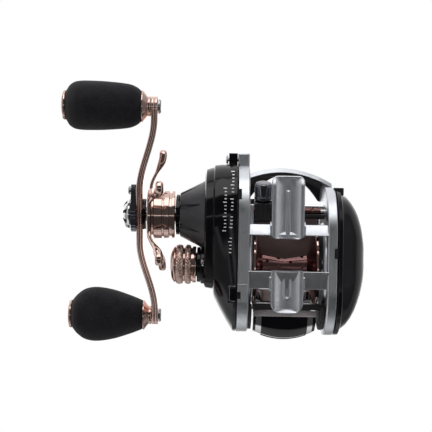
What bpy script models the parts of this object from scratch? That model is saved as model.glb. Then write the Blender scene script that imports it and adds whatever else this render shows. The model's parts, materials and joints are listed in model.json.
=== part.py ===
"""Low-profile baitcasting reel, right-hand retrieve, as an assembly of separate closed solids.

+X points to the handle side, +Y to the rod tip and +Z to the top of the reel. Every length below is
in millimetres. Y is counted from the middle of the foot, and SEAT_Y then moves the scene origin to
the middle of the front foot tab's seat face.
"""

from math import acos, atan2, cos, pi, radians, sin, sqrt, tau

import bmesh
import bpy
from mathutils import Matrix, Vector

MM = 0.001
SEAT_Y = 16.0
MERGE = 1e-4
GAP = 0.3
SEGMENTS = 24
FEW = 8
SHARP = radians(35)

# Axes, all parallel to X, as (y, z).
SPOOL = (-10.0, 22.0)
DRIVE = (11.9, 22.0)
WORM = (14.0, 10.95)
GUIDE_ROD = (16.3, 16.6)

# Foot and the bars that cross under the spool.
FOOT_HALF = 6.9
FOOT_THICK = 2.6
FOOT_TIP = 29.0
FRONT_BAR = (3.7, 8.4, 0.6, 4.6)
REAR_BAR = (-18.8, -11.3, 0.4, 3.6)

# Side plates as circles (y, z, radius) at the rear and at the front, and their X limits.
HANDLE_REAR = (-17.6, 22.0, 21.5)
HANDLE_FRONT = (12.5, 22.0, 21.6)
HANDLE_PLATE = (16.0, 21.0)
HANDLE_WALL = 1.8
HANDLE_RIM = 2.2
PALM_REAR = (-18.5, 22.0, 21.5)
PALM_FRONT = (4.0, 22.0, 21.0)
PALM_PLATE = (-21.3, -16.9)
LUG = (32.6, 39.2, 17.5, 26.5)
LUG_SCREW = (36.5, 22.0)

# Side covers as sections (x, rear y, rear radius, front y, front radius), both circles on the
# spool's height. The cone over the drive shaft is (x0, x1, radius at x0, radius at x1).
HANDLE_COVER_LEVELS = (
    (21.3, -17.6, 21.5, 13.0, 21.8),
    (22.4, -17.5, 21.3, 13.7, 21.9),
    (25.2, -15.4, 19.2, 13.0, 21.2),
    (30.8, -10.6, 13.6, 13.0, 21.1),
    (34.3, -10.2, 9.8, 12.2, 20.7),
    (35.2, -10.0, 9.0, 11.9, 19.0),
)
PALM_COVER_LEVELS = (
    (-21.6, -18.5, 21.5, 4.0, 21.0),
    (-23.4, -18.4, 21.4, 3.8, 20.8),
    (-24.4, -17.8, 20.4, 3.4, 19.6),
    (-28.0, -16.1, 18.0, 2.4, 17.0),
    (-31.4, -13.8, 14.0, 0.8, 13.4),
    (-33.5, -12.2, 9.6, -1.2, 9.4),
    (-34.3, -11.4, 6.4, -3.0, 6.0),
)
CONE = (35.2, 46.0, 15.0, 9.6)
COVER_WALL = 1.2
COVER_SCREWS = ((-8.5, 32.0), (-8.5, 12.0))

# Spool.
SPOOL_HALF = 14.15
SPOOL_R = 16.8
BORE_R = 17.4
RIM_R = 19.0
ARBOR_HALF = 10.1
ARBOR_R = 5.2
ARBOR_WAIST_R = 3.4

# Gear train.
GEAR_MODULE = 0.6
MAIN_TEETH = 63
PINION_TEETH = 10
WIND_MODULE = 0.5
WIND_DRIVE_TEETH = 26
WIND_WORM_TEETH = 19

# Posts that the clutch yoke slides on, on each side of the spool axis.
YOKE_POST_Y = -14.5
YOKE_POST_ZS = (SPOOL[1] - 7.0, SPOOL[1] + 7.0)

# Handle and its knobs. The handle rests with its forward end tipped towards the rod.
HANDLE_TIP = radians(18.1)
KNOB_RADIUS = 48.3
ARM_TIP_R = 4.3
ARM_X = 63.85
ARM_SWEEP = 6.5
ARM_THICK = 2.6
KNOB_INNER_X = 62.9
KNOB_LENGTH = 32.1

# X limits of the front hood, which passes in front of the palm plate, and of its liner.
HOOD_PALM_END = -21.2
HOOD_HANDLE_END = 15.7
LINER_PALM_END = -16.6

# Star drag.
STAR_ARMS = 5
STAR_FIRST = radians(-7.0)
STAR_PADDLE_R = 26.3

# Level wind.
GUIDE_X = 10.25
CAP_TILT = radians(19.0)

FINISHES = {
    "satin_silver": ((0.62, 0.63, 0.65, 1), 0.32, 1.0),
    "gloss_black": ((0.012, 0.012, 0.016, 1), 0.18, 0.0),
    "matte_black": ((0.02, 0.02, 0.022, 1), 0.55, 0.0),
    "black_chrome": ((0.09, 0.09, 0.1, 1), 0.15, 1.0),
    "chrome": ((0.78, 0.78, 0.8, 1), 0.1, 1.0),
    "rose_gold": ((0.55, 0.36, 0.29, 1), 0.24, 1.0),
    "copper_brown": ((0.24, 0.1, 0.085, 1), 0.26, 1.0),
    "brass": ((0.66, 0.5, 0.22, 1), 0.3, 1.0),
    "steel": ((0.5, 0.5, 0.52, 1), 0.28, 1.0),
    "foam_black": ((0.014, 0.014, 0.015, 1), 0.9, 0.0),
    "carbon_fibre": ((0.03, 0.03, 0.03, 1), 0.6, 0.0),
    "ceramic_white": ((0.85, 0.86, 0.84, 1), 0.25, 0.0),
}


def finish_material(finish):
    """The Principled material of that name, made once."""
    if finish in bpy.data.materials:
        return bpy.data.materials[finish]
    colour, roughness, metallic = FINISHES[finish]
    material = bpy.data.materials.new(finish)
    material.use_nodes = True
    shader = material.node_tree.nodes["Principled BSDF"]
    shader.inputs["Base Color"].default_value = colour
    shader.inputs["Roughness"].default_value = roughness
    shader.inputs["Metallic"].default_value = metallic
    return material


def at(x, y, z):
    """A reel point counted from the scene origin. It is still in millimetres."""
    return Vector((x, y - SEAT_Y, z))


def finish_object(name, bm, finish):
    """Turns a bmesh into a named object with outward normals and smooth round faces."""
    bmesh.ops.remove_doubles(bm, verts=bm.verts, dist=MERGE)
    bmesh.ops.recalc_face_normals(bm, faces=bm.faces)
    mesh = bpy.data.meshes.new(name)
    bm.to_mesh(mesh)
    bm.free()
    mesh.shade_smooth()
    mesh.set_sharp_from_angle(angle=SHARP)
    mesh.materials.append(finish_material(finish))
    obj = bpy.data.objects.new(name, mesh)
    bpy.context.scene.collection.objects.link(obj)
    return obj


def lathe(name, profile, axis, finish="steel", steps=SEGMENTS):
    """Spins a profile of (x, radius) points about an axis along X. A profile that starts and ends
    on the axis makes a solid. Any other is closed on itself and makes a ring."""
    bm = bmesh.new()
    chain = [bm.verts.new(at(x, axis[0], axis[1] + r)) for x, r in profile]
    if profile[0][1] or profile[-1][1]:
        chain.append(chain[0])
    edges = [bm.edges.new(pair) for pair in zip(chain, chain[1:])]
    bmesh.ops.spin(
        bm, geom=bm.verts[:] + edges, cent=at(0, *axis), axis=(1, 0, 0), dvec=(0, 0, 0),
        angle=tau, steps=steps, use_merge=True,
    )
    return finish_object(name, bm, finish)


def loft(name, sections, finish="steel"):
    """Skins closed sections of (x, y, z) points that all have the same count, with flat end caps."""
    bm = bmesh.new()
    rings = [[bm.verts.new(at(*point)) for point in section] for section in sections]
    for ring, after in zip(rings, rings[1:]):
        for i in range(len(ring)):
            bm.faces.new((ring[i - 1], ring[i], after[i], after[i - 1]))
    bm.faces.new(rings[0])
    bm.faces.new(rings[-1])
    return finish_object(name, bm, finish)


def prism(name, outline, x0, x1, finish="steel"):
    """Extrudes a (y, z) outline from x0 to x1."""
    return loft(name, [[(x, y, z) for y, z in outline] for x in (x0, x1)], finish)


def block(name, x0, x1, y0, y1, z0, z1, finish="steel"):
    return prism(name, [(y0, z0), (y1, z0), (y1, z1), (y0, z1)], x0, x1, finish)


def rod(name, x0, x1, radius, axis, finish="steel", steps=SEGMENTS):
    """A plain round bar along X."""
    return lathe(name, [(x0, 0), (x0, radius), (x1, radius), (x1, 0)], axis, finish, steps)


def ring(name, x0, x1, inner, outer, axis, finish="steel", steps=SEGMENTS):
    return lathe(name, [(x0, inner), (x0, outer), (x1, outer), (x1, inner)], axis, finish, steps)


def is_closed(mesh):
    """Does every edge join exactly two faces?"""
    bm = bmesh.new()
    bm.from_mesh(mesh)
    whole = all(edge.is_manifold for edge in bm.edges)
    bm.free()
    return whole


def boolean(target, tool, operation):
    """Applies a Boolean and removes its tool. The exact solver goes first, and the manifold one
    takes over where faces that nearly meet leave the exact result open."""
    modifier = target.modifiers.new(operation, "BOOLEAN")
    modifier.operation = operation
    modifier.object = tool
    for solver in ("EXACT", "MANIFOLD"):
        modifier.solver = solver
        bpy.context.view_layer.update()
        graph = bpy.context.evaluated_depsgraph_get()
        mesh = bpy.data.meshes.new_from_object(target.evaluated_get(graph))
        if is_closed(mesh):
            break
    target.modifiers.clear()
    target.data = mesh
    mesh.name = target.name
    mesh.shade_smooth()
    mesh.set_sharp_from_angle(angle=SHARP)
    bpy.data.objects.remove(tool)


def cut(target, *tools):
    for tool in tools:
        boolean(target, tool, "DIFFERENCE")


def fuse(target, *tools):
    for tool in tools:
        boolean(target, tool, "UNION")


def two_circles(rear, front, inset=0.0, steps=11):
    """The (y, z) outline of the taut band round two circles, made smaller by the inset."""
    (y1, z1, r1), (y2, z2, r2) = rear, front
    r1, r2 = r1 - inset, r2 - inset
    lie = atan2(z2 - z1, y2 - y1)
    spread = acos((r1 - r2) / sqrt((y2 - y1) ** 2 + (z2 - z1) ** 2))
    points = []
    for i in range(steps):
        angle = lie - spread + 2 * spread * i / (steps - 1)
        points.append((y2 + r2 * cos(angle), z2 + r2 * sin(angle)))
    for i in range(steps):
        angle = lie + spread + (tau - 2 * spread) * i / (steps - 1)
        points.append((y1 + r1 * cos(angle), z1 + r1 * sin(angle)))
    return points


def smooth(value, low, high):
    """Rises smoothly from 0 at low to 1 at high."""
    t = min(max((value - low) / (high - low), 0.0), 1.0)
    return t * t * (3 - 2 * t)


def gear(name, teeth, module, x0, x1, axis, bore, finish, phase=0.0, slim=0.3):
    """A spur gear with straight-sided teeth. slim is the part of the pitch left as play."""
    tip = module * (teeth / 2 + 1)
    root = module * (teeth / 2 - 1.25)
    pitch = tau / teeth
    widths = ((root, 0.30 - slim / 8), (tip, 0.14 - slim / 8))
    outline = []
    for i in range(teeth):
        middle = phase + i * pitch
        for radius, half in (widths[0], widths[1]):
            outline.append((middle - half * pitch, radius))
        for radius, half in (widths[1], widths[0]):
            outline.append((middle + half * pitch, radius))
    points = [(axis[0] + r * cos(a), axis[1] + r * sin(a)) for a, r in outline]
    wheel = prism(name, points, x0, x1, finish)
    cut(wheel, rod("bore", x0 - 1, x1 + 1, bore, axis))
    return wheel


def foot_tab(name, tip, root, corner):
    """One tab of the foot: a plate from its root at a bar to its tip, with rounded tip corners."""
    sign = 1 if tip > root else -1
    outline = [(-FOOT_HALF, root), (FOOT_HALF, root)]
    for side in (1, -1):
        middle = (side * (FOOT_HALF - corner), tip - sign * corner)
        for i in range(5):
            angle = (i if side > 0 else 4 - i) * pi / 8
            outline.append(
                (middle[0] + side * corner * cos(angle), middle[1] + sign * corner * sin(angle))
            )
    sections = [[(x, y, z) for x, y in outline] for z in (0.0, FOOT_THICK)]
    return loft(name, sections, "satin_silver")


def make_frame():
    """The one-piece casting: two side plates, two bars under the spool and the foot."""
    x0, x1 = HANDLE_PLATE
    frame = prism("frame", two_circles(HANDLE_REAR, HANDLE_FRONT), x0, x1, "satin_silver")
    pocket = two_circles(HANDLE_REAR, HANDLE_FRONT, HANDLE_RIM)
    cut(frame, prism("pocket", pocket, x0 + HANDLE_WALL, x1 + 1))
    fuse(frame, block("lug", x0, x1, *LUG))
    fuse(frame, ring("spool_rim", x0 - 1.4, x0 + 0.4, BORE_R, RIM_R, SPOOL))
    seats = ((SPOOL, 6.8, 5.15, 20.4), (DRIVE, 5.6, 4.15, 20.2), (WORM, 3.9, 2.65, 20.2))
    for axis, outer, inner, end in seats:
        fuse(frame, rod("seat", x0 + 0.2, end, outer, axis))
        cut(frame, rod("seat_bore", x0 - 2, end + 1, inner, axis))

    fuse(frame, prism("palm_plate", two_circles(PALM_REAR, PALM_FRONT), *PALM_PLATE))
    fuse(frame, ring("palm_rim", PALM_PLATE[1] - 0.4, PALM_PLATE[1] + 1.3, BORE_R, RIM_R, SPOOL))
    cut(frame, rod("spool_bore", PALM_PLATE[0] - 1, PALM_PLATE[1] + 3, BORE_R, SPOOL, steps=32))
    for y0, y1, z0, z1 in (FRONT_BAR, REAR_BAR):
        fuse(frame, block("bar", PALM_PLATE[1] - 0.5, x0 + 0.5, y0, y1, z0, z1))
    fuse(frame, foot_tab("front_tab", FOOT_TIP, FRONT_BAR[0] + 0.3, 2.6))
    fuse(frame, foot_tab("rear_tab", -FOOT_TIP, REAR_BAR[1] - 0.3, 4.4))

    # Shallow dish in the seat face of each tab, one on each side of the middle rib.
    dish_r = 6.2
    dish_z = -dish_r + 0.55
    dishes = ((6.0, 27.2), (-26.4, -9.0))
    for y0, y1 in dishes:
        for side in (1, -1):
            tool = rod("dish", 0, y1 - y0, dish_r, (SEAT_Y, 0), steps=32)
            tool.data.transform(Matrix.Rotation(pi / 2, 4, "Z"))
            tool.data.transform(
                Matrix.Translation(at(side * 2.75, y0, dish_z))
            )
            cut(frame, tool)
    cut(frame, block("centre_slot", -0.8, 0.8, -22.0, -9.0, -1.0, 0.5))

    # Seats for the guide rod and the worm's far end, and the tab notches in the plate edges.
    cut(frame, rod("rod_seat", PALM_PLATE[1] - 2.2, x0 + 1.2, 0.95, GUIDE_ROD, steps=FEW))
    cut(frame, rod("worm_seat", PALM_PLATE[1] - 3.0, PALM_PLATE[1] + 1, 1.35, WORM, steps=16))
    cut(frame, block("handle_notch", x1 - 1.4, x1 + 1, 18.7, 23.2, -2.0, 4.0))
    cut(frame, block("palm_notch", PALM_PLATE[0] - 1, PALM_PLATE[0] + 1.4, -5.6, -1.4, -2.0, 2.2))
    for z in YOKE_POST_ZS:
        cut(frame, rod("post_seat", x0 + 0.6, x0 + 3, 1.15, (YOKE_POST_Y, z), steps=FEW))
    cut(frame, rod("lug_screw_hole", 19.4, x1 + 1, 1.0, LUG_SCREW, steps=FEW))


def cover_sections(levels, inset=0.0, steps=11):
    """Sections of a side cover from (x, rear y, rear radius, front y, front radius) levels."""
    sections = []
    for x, rear_y, rear_r, front_y, front_r in levels:
        rear = (rear_y, SPOOL[1], rear_r)
        front = (front_y, SPOOL[1], front_r)
        sections.append([(x, y, z) for y, z in two_circles(rear, front, inset, steps)])
    return sections


def make_handle_cover():
    """Gearbox cover with the cone over the one-way bearing and the boss of the cast control."""
    cover = loft("handle_side_cover", cover_sections(HANDLE_COVER_LEVELS), "gloss_black")
    x0, x1, r0, r1 = CONE
    fuse(cover, lathe("cone", [(x0 - 1, 0), (x0 - 1, r0), (x0, r0), (x1, r1), (x1, 0)], DRIVE))
    fuse(cover, rod("boss", x0 - 1, 38.4, 7.6, SPOOL))
    fuse(cover, rod("neck", x0 - 1, 42.8, 5.2, SPOOL))
    fuse(cover, block("lug", 21.3, 25.1, *LUG))

    inner = [list(level) for level in HANDLE_COVER_LEVELS[:-1]]
    inner[0][0] = 20.0
    inner[-1][0] = 33.6
    cut(cover, loft("cavity", cover_sections(inner, COVER_WALL)))
    cut(cover, rod("gear_room", 24.0, 30.2, 19.9, DRIVE, steps=32))
    cut(cover, rod("bearing_seat", 30.0, 43.9, 7.15, DRIVE))
    cut(cover, rod("shaft_hole", 30.0, 50.0, 4.35, DRIVE))
    cut(cover, rod("pinion_room", 33.0, 35.4, 4.6, SPOOL))
    cut(cover, rod("spool_bearing_seat", 33.0, 38.0, 4.15, SPOOL))
    cut(cover, rod("spool_shaft_hole", 33.0, 45.0, 1.7, SPOOL))
    cut(cover, rod("lug_hole", 20.0, 25.6, 1.0, LUG_SCREW, steps=FEW))
    for y, z in COVER_SCREWS:
        cut(cover, rod("screw_hole", 30.0, 36.0, 0.95, (y, z), steps=FEW))


def make_palm_cover():
    """Domed cover over the brake, with a round recess for the brake dial."""
    cover = loft("palm_side_cover", cover_sections(PALM_COVER_LEVELS), "gloss_black")
    inner = [list(level) for level in PALM_COVER_LEVELS[:-1]]
    inner[0][0] = -20.0
    inner[-1][0] = -31.8
    cut(cover, loft("cavity", cover_sections(inner, COVER_WALL)))
    cut(cover, rod("dial_recess", -36.0, -32.7, 5.6, SPOOL))
    cut(cover, rod("dial_hole", -36.0, -28.0, 1.9, SPOOL))


def make_hood():
    """Bright arch over the line guide, and the dark liner behind it."""

    def section(x, outer, inner):
        """Closed (y, z) loop of the arch at x, between two depths measured inwards."""
        front_y = 33.5 - 0.0134 * (x - 1) ** 2
        rear_y = 30.4 - 0.045 * min(abs(x), 16.0) ** 2
        front_z = 27.5 + 2.0 * (1 - min(abs(x) / 16.0, 1.0) ** 2)
        rear_z = 35.0 + 4.5 * min(abs(x) / 16.0, 1.0) ** 2
        steps = 5
        loop = []
        for depth, order in ((outer, range(steps + 1)), (inner, range(steps, -1, -1))):
            for i in order:
                t = i / steps
                y = (1 - t * t) * (front_y - depth) + t * t * rear_y
                z = front_z + (rear_z - depth - front_z) * sin(t * pi / 2)
                loop.append((x, y, z))
        return loop

    def stations(low, high, count=10):
        return [low + (high - low) * i / count for i in range(count + 1)]

    arch = [section(x, 0.0, 1.6) for x in stations(HOOD_PALM_END, HOOD_HANDLE_END)]
    loft("front_hood", arch, "satin_silver")
    liner = [section(x, 1.9, 3.1) for x in stations(LINER_PALM_END, HOOD_HANDLE_END)]
    loft("hood_liner", liner, "matte_black")


def make_thumb_rest():
    """Arched bridge over the front of the spool, where the thumb rests between casts."""
    lower = ((-4.6, 40.7), (2.0, 40.0), (8.0, 38.0), (12.6, 35.0))
    upper = ((13.6, 36.4), (8.8, 40.2), (2.2, 42.3), (-4.2, 42.6))
    stations = [-16.6 + (15.7 + 16.6) * i / 8 for i in range(9)]
    sections = []
    for x in stations:
        dip = 0.7 * (1 - (x / 16.6) ** 2)
        sections.append([(x, y, z) for y, z in lower] + [(x, y, z - dip) for y, z in upper])
    loft("thumb_rest", sections, "satin_silver")


def make_thumb_bar():
    """Clutch thumb bar, bulged to the rear, with its lip and two bright strips."""
    outline = (
        (-29.0, 12.0), (-31.0, 11.8), (-35.0, 14.4), (-38.0, 19.0), (-39.2, 25.0), (-38.4, 30.5),
        (-35.4, 34.0), (-31.0, 35.6), (-26.4, 35.8), (-24.4, 34.8), (-26.6, 32.0), (-28.4, 27.0),
        (-29.0, 22.0),
    )
    apron = ((-27.0, 34.2), (-21.4, 35.8), (-21.1, 36.9), (-27.0, 36.2))
    half, apron_half, saddle = 13.6, 13.4, 3.8
    steps = (-1.0, -0.88, -0.75, -0.62, -0.33, 0.0, 0.33, 0.62, 0.75, 0.88, 1.0)

    def raised(x):
        """The top is a saddle, high enough at its sides to pass over the spool's flanges."""
        return saddle * smooth(abs(x), 8.5, 12.0)

    sections, apron_sections = [], []
    for step in steps:
        x = half * step
        bulge = 3.3 * (1 - step ** 2)
        sections.append([
            (x, y - bulge * smooth(-y, 31.0, 38.0), z + raised(x) * smooth(z, 32.0, 36.0))
            for y, z in outline
        ])
        x = apron_half * step
        apron_sections.append([(x, y, z + raised(x)) for y, z in apron])
    bar = loft("thumb_bar", sections, "gloss_black")
    fuse(bar, loft("apron", apron_sections))


def make_spool():
    """One-piece spool: two dished flanges and an arbor that is narrowest at its middle."""
    half, edge = SPOOL_HALF, SPOOL_R
    profile = [
        (-half, edge), (-half + 1.4, edge), (-ARBOR_HALF, ARBOR_R), (0, ARBOR_WAIST_R),
        (ARBOR_HALF, ARBOR_R), (half - 1.4, edge), (half, edge), (half, 2.4), (half + 1.0, 2.4),
        (half + 1.0, 1.45), (-half - 1.0, 1.45), (-half - 1.0, 2.4), (-half, 2.4),
    ]
    lathe("spool", profile, SPOOL, "copper_brown", steps=20)


def make_pinion():
    """Pinion with a tube that runs in its bearing, and a necked collar for the clutch yoke."""
    pinion = gear("pinion_gear", PINION_TEETH, GEAR_MODULE, 24.3, 29.9, SPOOL, 1.55, "brass",
                  phase=0.0)
    fuse(pinion, ring("tube", 17.2, 24.5, 1.55, 2.25, SPOOL, "brass"))
    collar = [
        (29.7, 1.55), (29.7, 2.25), (31.3, 2.25), (31.3, 3.5), (31.9, 3.5), (31.9, 1.55),
    ]
    fuse(pinion, lathe("collar", collar, SPOOL, "brass"))
    cut(pinion, block("pin_slot", 16.5, 18.7, -14.0, -6.0, SPOOL[1] - 0.8, SPOOL[1] + 0.8))


def make_worm():
    """Level-wind worm with two crossing helical grooves that meet at its ends."""
    radius, depth, half, turns = 1.9, 0.4, 12.4, 3
    around, along = 10, 26
    sections = []

    def circle(x, r):
        angles = [tau * i / around for i in range(around)]
        return [(x, WORM[0] + r * cos(a), WORM[1] + r * sin(a)) for a in angles]

    for x, r in ((-19.3, 1.2), (-14.6, 1.2), (-14.5, radius), (-13.6, radius)):
        sections.append(circle(x, r))
    for step in range(along + 1):
        x = -half - 0.9 + 2 * (half + 0.9) * step / along
        loop = []
        for i in range(around):
            angle = tau * i / around
            near = 1e9
            for way in (1, -1):
                shift = way * angle / tau
                phase = (x + half) / (2 * half) * turns - shift
                near = min(near, abs(phase - round(phase)) * 2 * half / turns)
            ends = smooth(half + 0.5 - abs(x), 0.0, 0.6)
            r = radius - depth * ends * (1 - smooth(near, 0.45, 0.8))
            loop.append((x, WORM[0] + r * cos(angle), WORM[1] + r * sin(angle)))
        sections.append(loop)
    for x, r in ((13.6, radius), (14.5, radius), (14.6, 1.2), (22.8, 1.2)):
        sections.append(circle(x, r))
    loft("worm_shaft", sections, "copper_brown")


def cap_rod(name, start, end, radius, x, finish="steel", steps=16, inner=0.0):
    """A round bar on the pawl's axis, which leaves the worm forwards and a little down."""
    piece = (ring if inner else rod)
    shape = piece(name, start, end, *((inner, radius) if inner else (radius,)), (SEAT_Y, 0), finish,
                  steps)
    turn = Matrix.Rotation(-CAP_TILT, 4, "X") @ Matrix.Rotation(pi / 2, 4, "Z")
    shape.data.transform(Matrix.Translation(at(x, *WORM)) @ turn)
    return shape


def eye_ring(name, profile, x, z, finish, steps=20):
    """A ring about an axis along Y, from (y, radius) points."""
    shape = lathe(name, profile, (SEAT_Y, 0), finish, steps)
    shape.data.transform(Matrix.Translation(at(x, 0, z)) @ Matrix.Rotation(pi / 2, 4, "Z"))
    return shape


def make_line_guide():
    """Carriage that rides on the worm guard and the guide rod, with the line eye on top."""
    x0, x1 = GUIDE_X - 3.65, GUIDE_X + 3.65
    outline = (
        (9.2, 7.6), (10.6, 6.2), (17.0, 6.2), (18.4, 7.6), (19.0, 15.0), (19.0, 20.4),
        (15.0, 20.4), (14.4, 16.0), (10.4, 15.8), (9.2, 14.6),
    )
    guide = prism("line_guide", outline, x0, x1, "matte_black")
    eye_z = 24.6
    fuse(guide, eye_ring("eye", [(15.4, 3.2), (15.4, 5.0), (19.4, 5.0), (19.4, 3.2)], GUIDE_X,
                         eye_z, "matte_black"))
    cut(guide, rod("guard_bore", x0 - 1, x1 + 1, 3.5, WORM))
    cut(guide, rod("rod_bore", x0 - 1, x1 + 1, 1.05, GUIDE_ROD, steps=FEW))
    cut(guide, cap_rod("pawl_bore", 2.0, 9.0, 1.6, GUIDE_X))
    cut(guide, eye_ring("eye_bore", [(14.0, 0), (14.0, 3.3), (21.0, 3.3), (21.0, 0)], GUIDE_X,
                        eye_z, "matte_black"))
    eye_ring(
        "line_guide_insert",
        [(15.2, 2.6), (15.2, 3.0), (19.6, 3.0), (19.6, 2.6), (18.4, 2.1), (16.4, 2.1)],
        GUIDE_X, eye_z, "ceramic_white",
    )
    cap_rod("line_guide_pawl", 2.2, 8.4, 1.3, GUIDE_X, "brass")
    cap = cap_rod("pawl_cap", 5.4, 13.0, 3.85, GUIDE_X, "black_chrome", steps=20)
    cut(cap, cap_rod("cap_bore", 5.0, 9.0, 1.7, GUIDE_X))


def make_worm_guard():
    """Dark half tube round the worm, open forwards and down so that the pawl reaches the worm."""
    inner, outer, half_open = 2.4, 3.2, radians(86)
    mouth = radians(-26)
    loop = []
    for radius, order in ((outer, range(15)), (inner, range(14, -1, -1))):
        for i in order:
            angle = mouth + half_open + (tau - 2 * half_open) * i / 14
            loop.append((WORM[0] + radius * cos(angle), WORM[1] + radius * sin(angle)))
    prism("worm_guard", loop, -16.5, 15.7, "matte_black")


def handle_point(x, along, across):
    """A point of the handle: along runs to the forward knob, across lies in the arm's width."""
    y = DRIVE[0] + along * cos(HANDLE_TIP) + across * sin(HANDLE_TIP)
    z = DRIVE[1] - along * sin(HANDLE_TIP) + across * cos(HANDLE_TIP)
    return (x, y, z)


def arm_middle(along):
    return ARM_X - ARM_SWEEP * smooth(abs(along), 12.0, 44.0)


def make_handle_arm():
    """Flat arm swept towards the reel at both ends, with a rounded end round each knob post."""
    reach = KNOB_RADIUS + ARM_TIP_R
    sections = []
    for i in range(21):
        along = -reach * cos(pi * i / 20) * 0.999
        width = 5.6 - 1.2 * smooth(abs(along), 8.0, 34.0)
        past = abs(along) - KNOB_RADIUS
        if past > 0:
            width = sqrt(max(ARM_TIP_R ** 2 - past ** 2, 0.04))
        middle, half = arm_middle(along), ARM_THICK / 2
        corners = ((-half, -width), (half, -width), (half, width), (-half, width))
        sections.append([handle_point(middle + dx, along, across) for dx, across in corners])
    arm = loft("handle_arm", sections, "rose_gold")
    cut(arm, rod("arm_bore", 60.0, 68.0, 2.85, DRIVE))
    for side in (1, -1):
        _, y, z = handle_point(0, side * KNOB_RADIUS, 0)
        cut(arm, rod("post_bore", 52.0, 62.0, 2.2, (y, z), steps=16))
    _, y, z = handle_point(0, 10.8, 0)
    cut(arm, rod("screw_bore", 63.4, 68.0, 1.05, (y, z), steps=FEW))
    return arm


def make_knob(end, side, turn):
    """Foam grip, inner collar, outer cap and post of one knob. turn rolls the oval grip."""
    _, y, z = handle_point(0, side * KNOB_RADIUS, 0)
    axis = (y, z)
    wide = ((0, 6.4), (0.06, 7.3), (0.2, 9.0), (0.42, 11.2), (0.66, 12.3), (0.82, 11.4),
            (0.93, 8.9), (1.0, 6.2))
    slim = ((0, 6.4), (0.06, 8.0), (0.16, 9.3), (0.42, 10.2), (0.66, 10.5), (0.86, 10.2),
            (0.95, 8.7), (1.0, 6.2))

    def measure(table, t):
        for (t0, v0), (t1, v1) in zip(table, table[1:]):
            if t <= t1:
                return v0 + (v1 - v0) * (t - t0) / (t1 - t0)
        return table[-1][1]

    sections = []
    for i in range(10):
        t = i / 9
        a, b = measure(wide, t), measure(slim, t)
        x = KNOB_INNER_X + KNOB_LENGTH * t
        loop = []
        for k in range(16):
            angle = tau * k / 16
            u, v = a * cos(angle), b * sin(angle)
            loop.append((x, y + u * cos(turn) - v * sin(turn), z + u * sin(turn) + v * cos(turn)))
        sections.append(loop)
    grip = loft(end + "_knob_grip", sections, "foam_black")
    outer_x = KNOB_INNER_X + KNOB_LENGTH
    cut(grip, rod("bore", KNOB_INNER_X - 1, outer_x + 1, 2.3, axis, steps=16))
    lathe(
        end + "_knob_collar",
        [(58.9, 2.2), (58.9, 4.1), (60.3, 4.4), (61.8, 6.9), (62.6, 6.9), (62.6, 2.2)],
        axis, "rose_gold",
    )
    lathe(
        end + "_knob_cap",
        [(outer_x + GAP, 0), (outer_x + GAP, 6.2), (outer_x + 1.0, 6.2), (outer_x + 1.7, 5.2),
         (outer_x + 2.0, 3.2), (outer_x + 2.0, 0)],
        axis, "rose_gold",
    )
    lathe(
        end + "_knob_post",
        [(54.6, 0), (54.6, 2.6), (55.0, 3.1), (55.7, 3.1), (55.7, 1.9), (outer_x - 0.8, 1.9),
         (outer_x - 0.8, 0)],
        axis, "steel", steps=32,
    )


def star_point(x, radius, across, angle):
    """A point on a star arm. Angles run from forwards towards the foot."""
    y = DRIVE[0] + radius * cos(angle) - across * sin(angle)
    z = DRIVE[1] - radius * sin(angle) - across * cos(angle)
    return (x, y, z)


def make_star():
    """Star drag wheel: ringed hub, face plate and five arms that curve towards the reel."""
    hub = [
        (48.2, 3.4), (48.2, 10.6), (49.7, 10.6), (49.8, 9.9), (50.6, 9.9), (50.8, 10.6),
        (53.1, 10.6), (53.2, 10.0), (53.8, 10.0), (53.9, 10.6), (57.7, 10.6), (57.8, 9.4),
        (58.3, 9.4), (58.4, 11.4), (60.2, 11.4), (60.2, 3.4),
    ]
    star = lathe("star_drag", hub, DRIVE, "rose_gold")
    for arm in range(STAR_ARMS):
        angle = STAR_FIRST + arm * tau / STAR_ARMS
        sections = []
        for i in range(7):
            radius = 10.6 + (STAR_PADDLE_R + 2.4 - 10.6) * i / 6
            middle = 59.3 - 4.6 * smooth(radius, 12.0, 25.0)
            width = 1.7 + 1.2 * smooth(radius, 18.0, 24.0)
            past = radius - STAR_PADDLE_R
            if past > 0:
                width *= sqrt(max(1 - (past / 2.6) ** 2, 0.02))
            thick = 0.85 + 0.25 * smooth(radius, 18.0, 24.0)
            corners = ((-1, -1), (1, -1), (1, 1), (-1, 1))
            sections.append(
                [star_point(middle + thick * dx, radius, width * w, angle) for dx, w in corners]
            )
        fuse(star, loft("star_arm", sections))
    return star


def make_nut_parts():
    """Handle nut, the plate that locks it and that plate's screw."""
    profile = [
        (71.6, 0), (71.6, 1.6), (71.2, 3.6), (70.6, 5.2), (69.6, 6.3), (68.6, 6.6), (68.1, 6.4),
        (68.1, 4.6), (65.3, 4.6), (65.3, 2.75), (70.3, 2.75), (70.3, 0),
    ]
    lathe("handle_nut", profile, DRIVE, "chrome")
    plate_outline = []
    for y, z in two_circles((0.0, 0.0, 7.9), (10.8, 0.0, 2.6), steps=10):
        _, py, pz = handle_point(0, y, z)
        plate_outline.append((py, pz))
    plate = prism("nut_lock_plate", plate_outline, 65.4, 67.7, "black_chrome")
    cut(plate, rod("nut_hole", 65.0, 68.0, 4.9, DRIVE))
    _, y, z = handle_point(0, 10.8, 0)
    cut(plate, rod("screw_hole", 65.0, 68.0, 1.1, (y, z), steps=FEW))
    screw_along_x("lock_plate_screw", 68.0, 63.6, (y, z), 1.9, 0.9)


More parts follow.
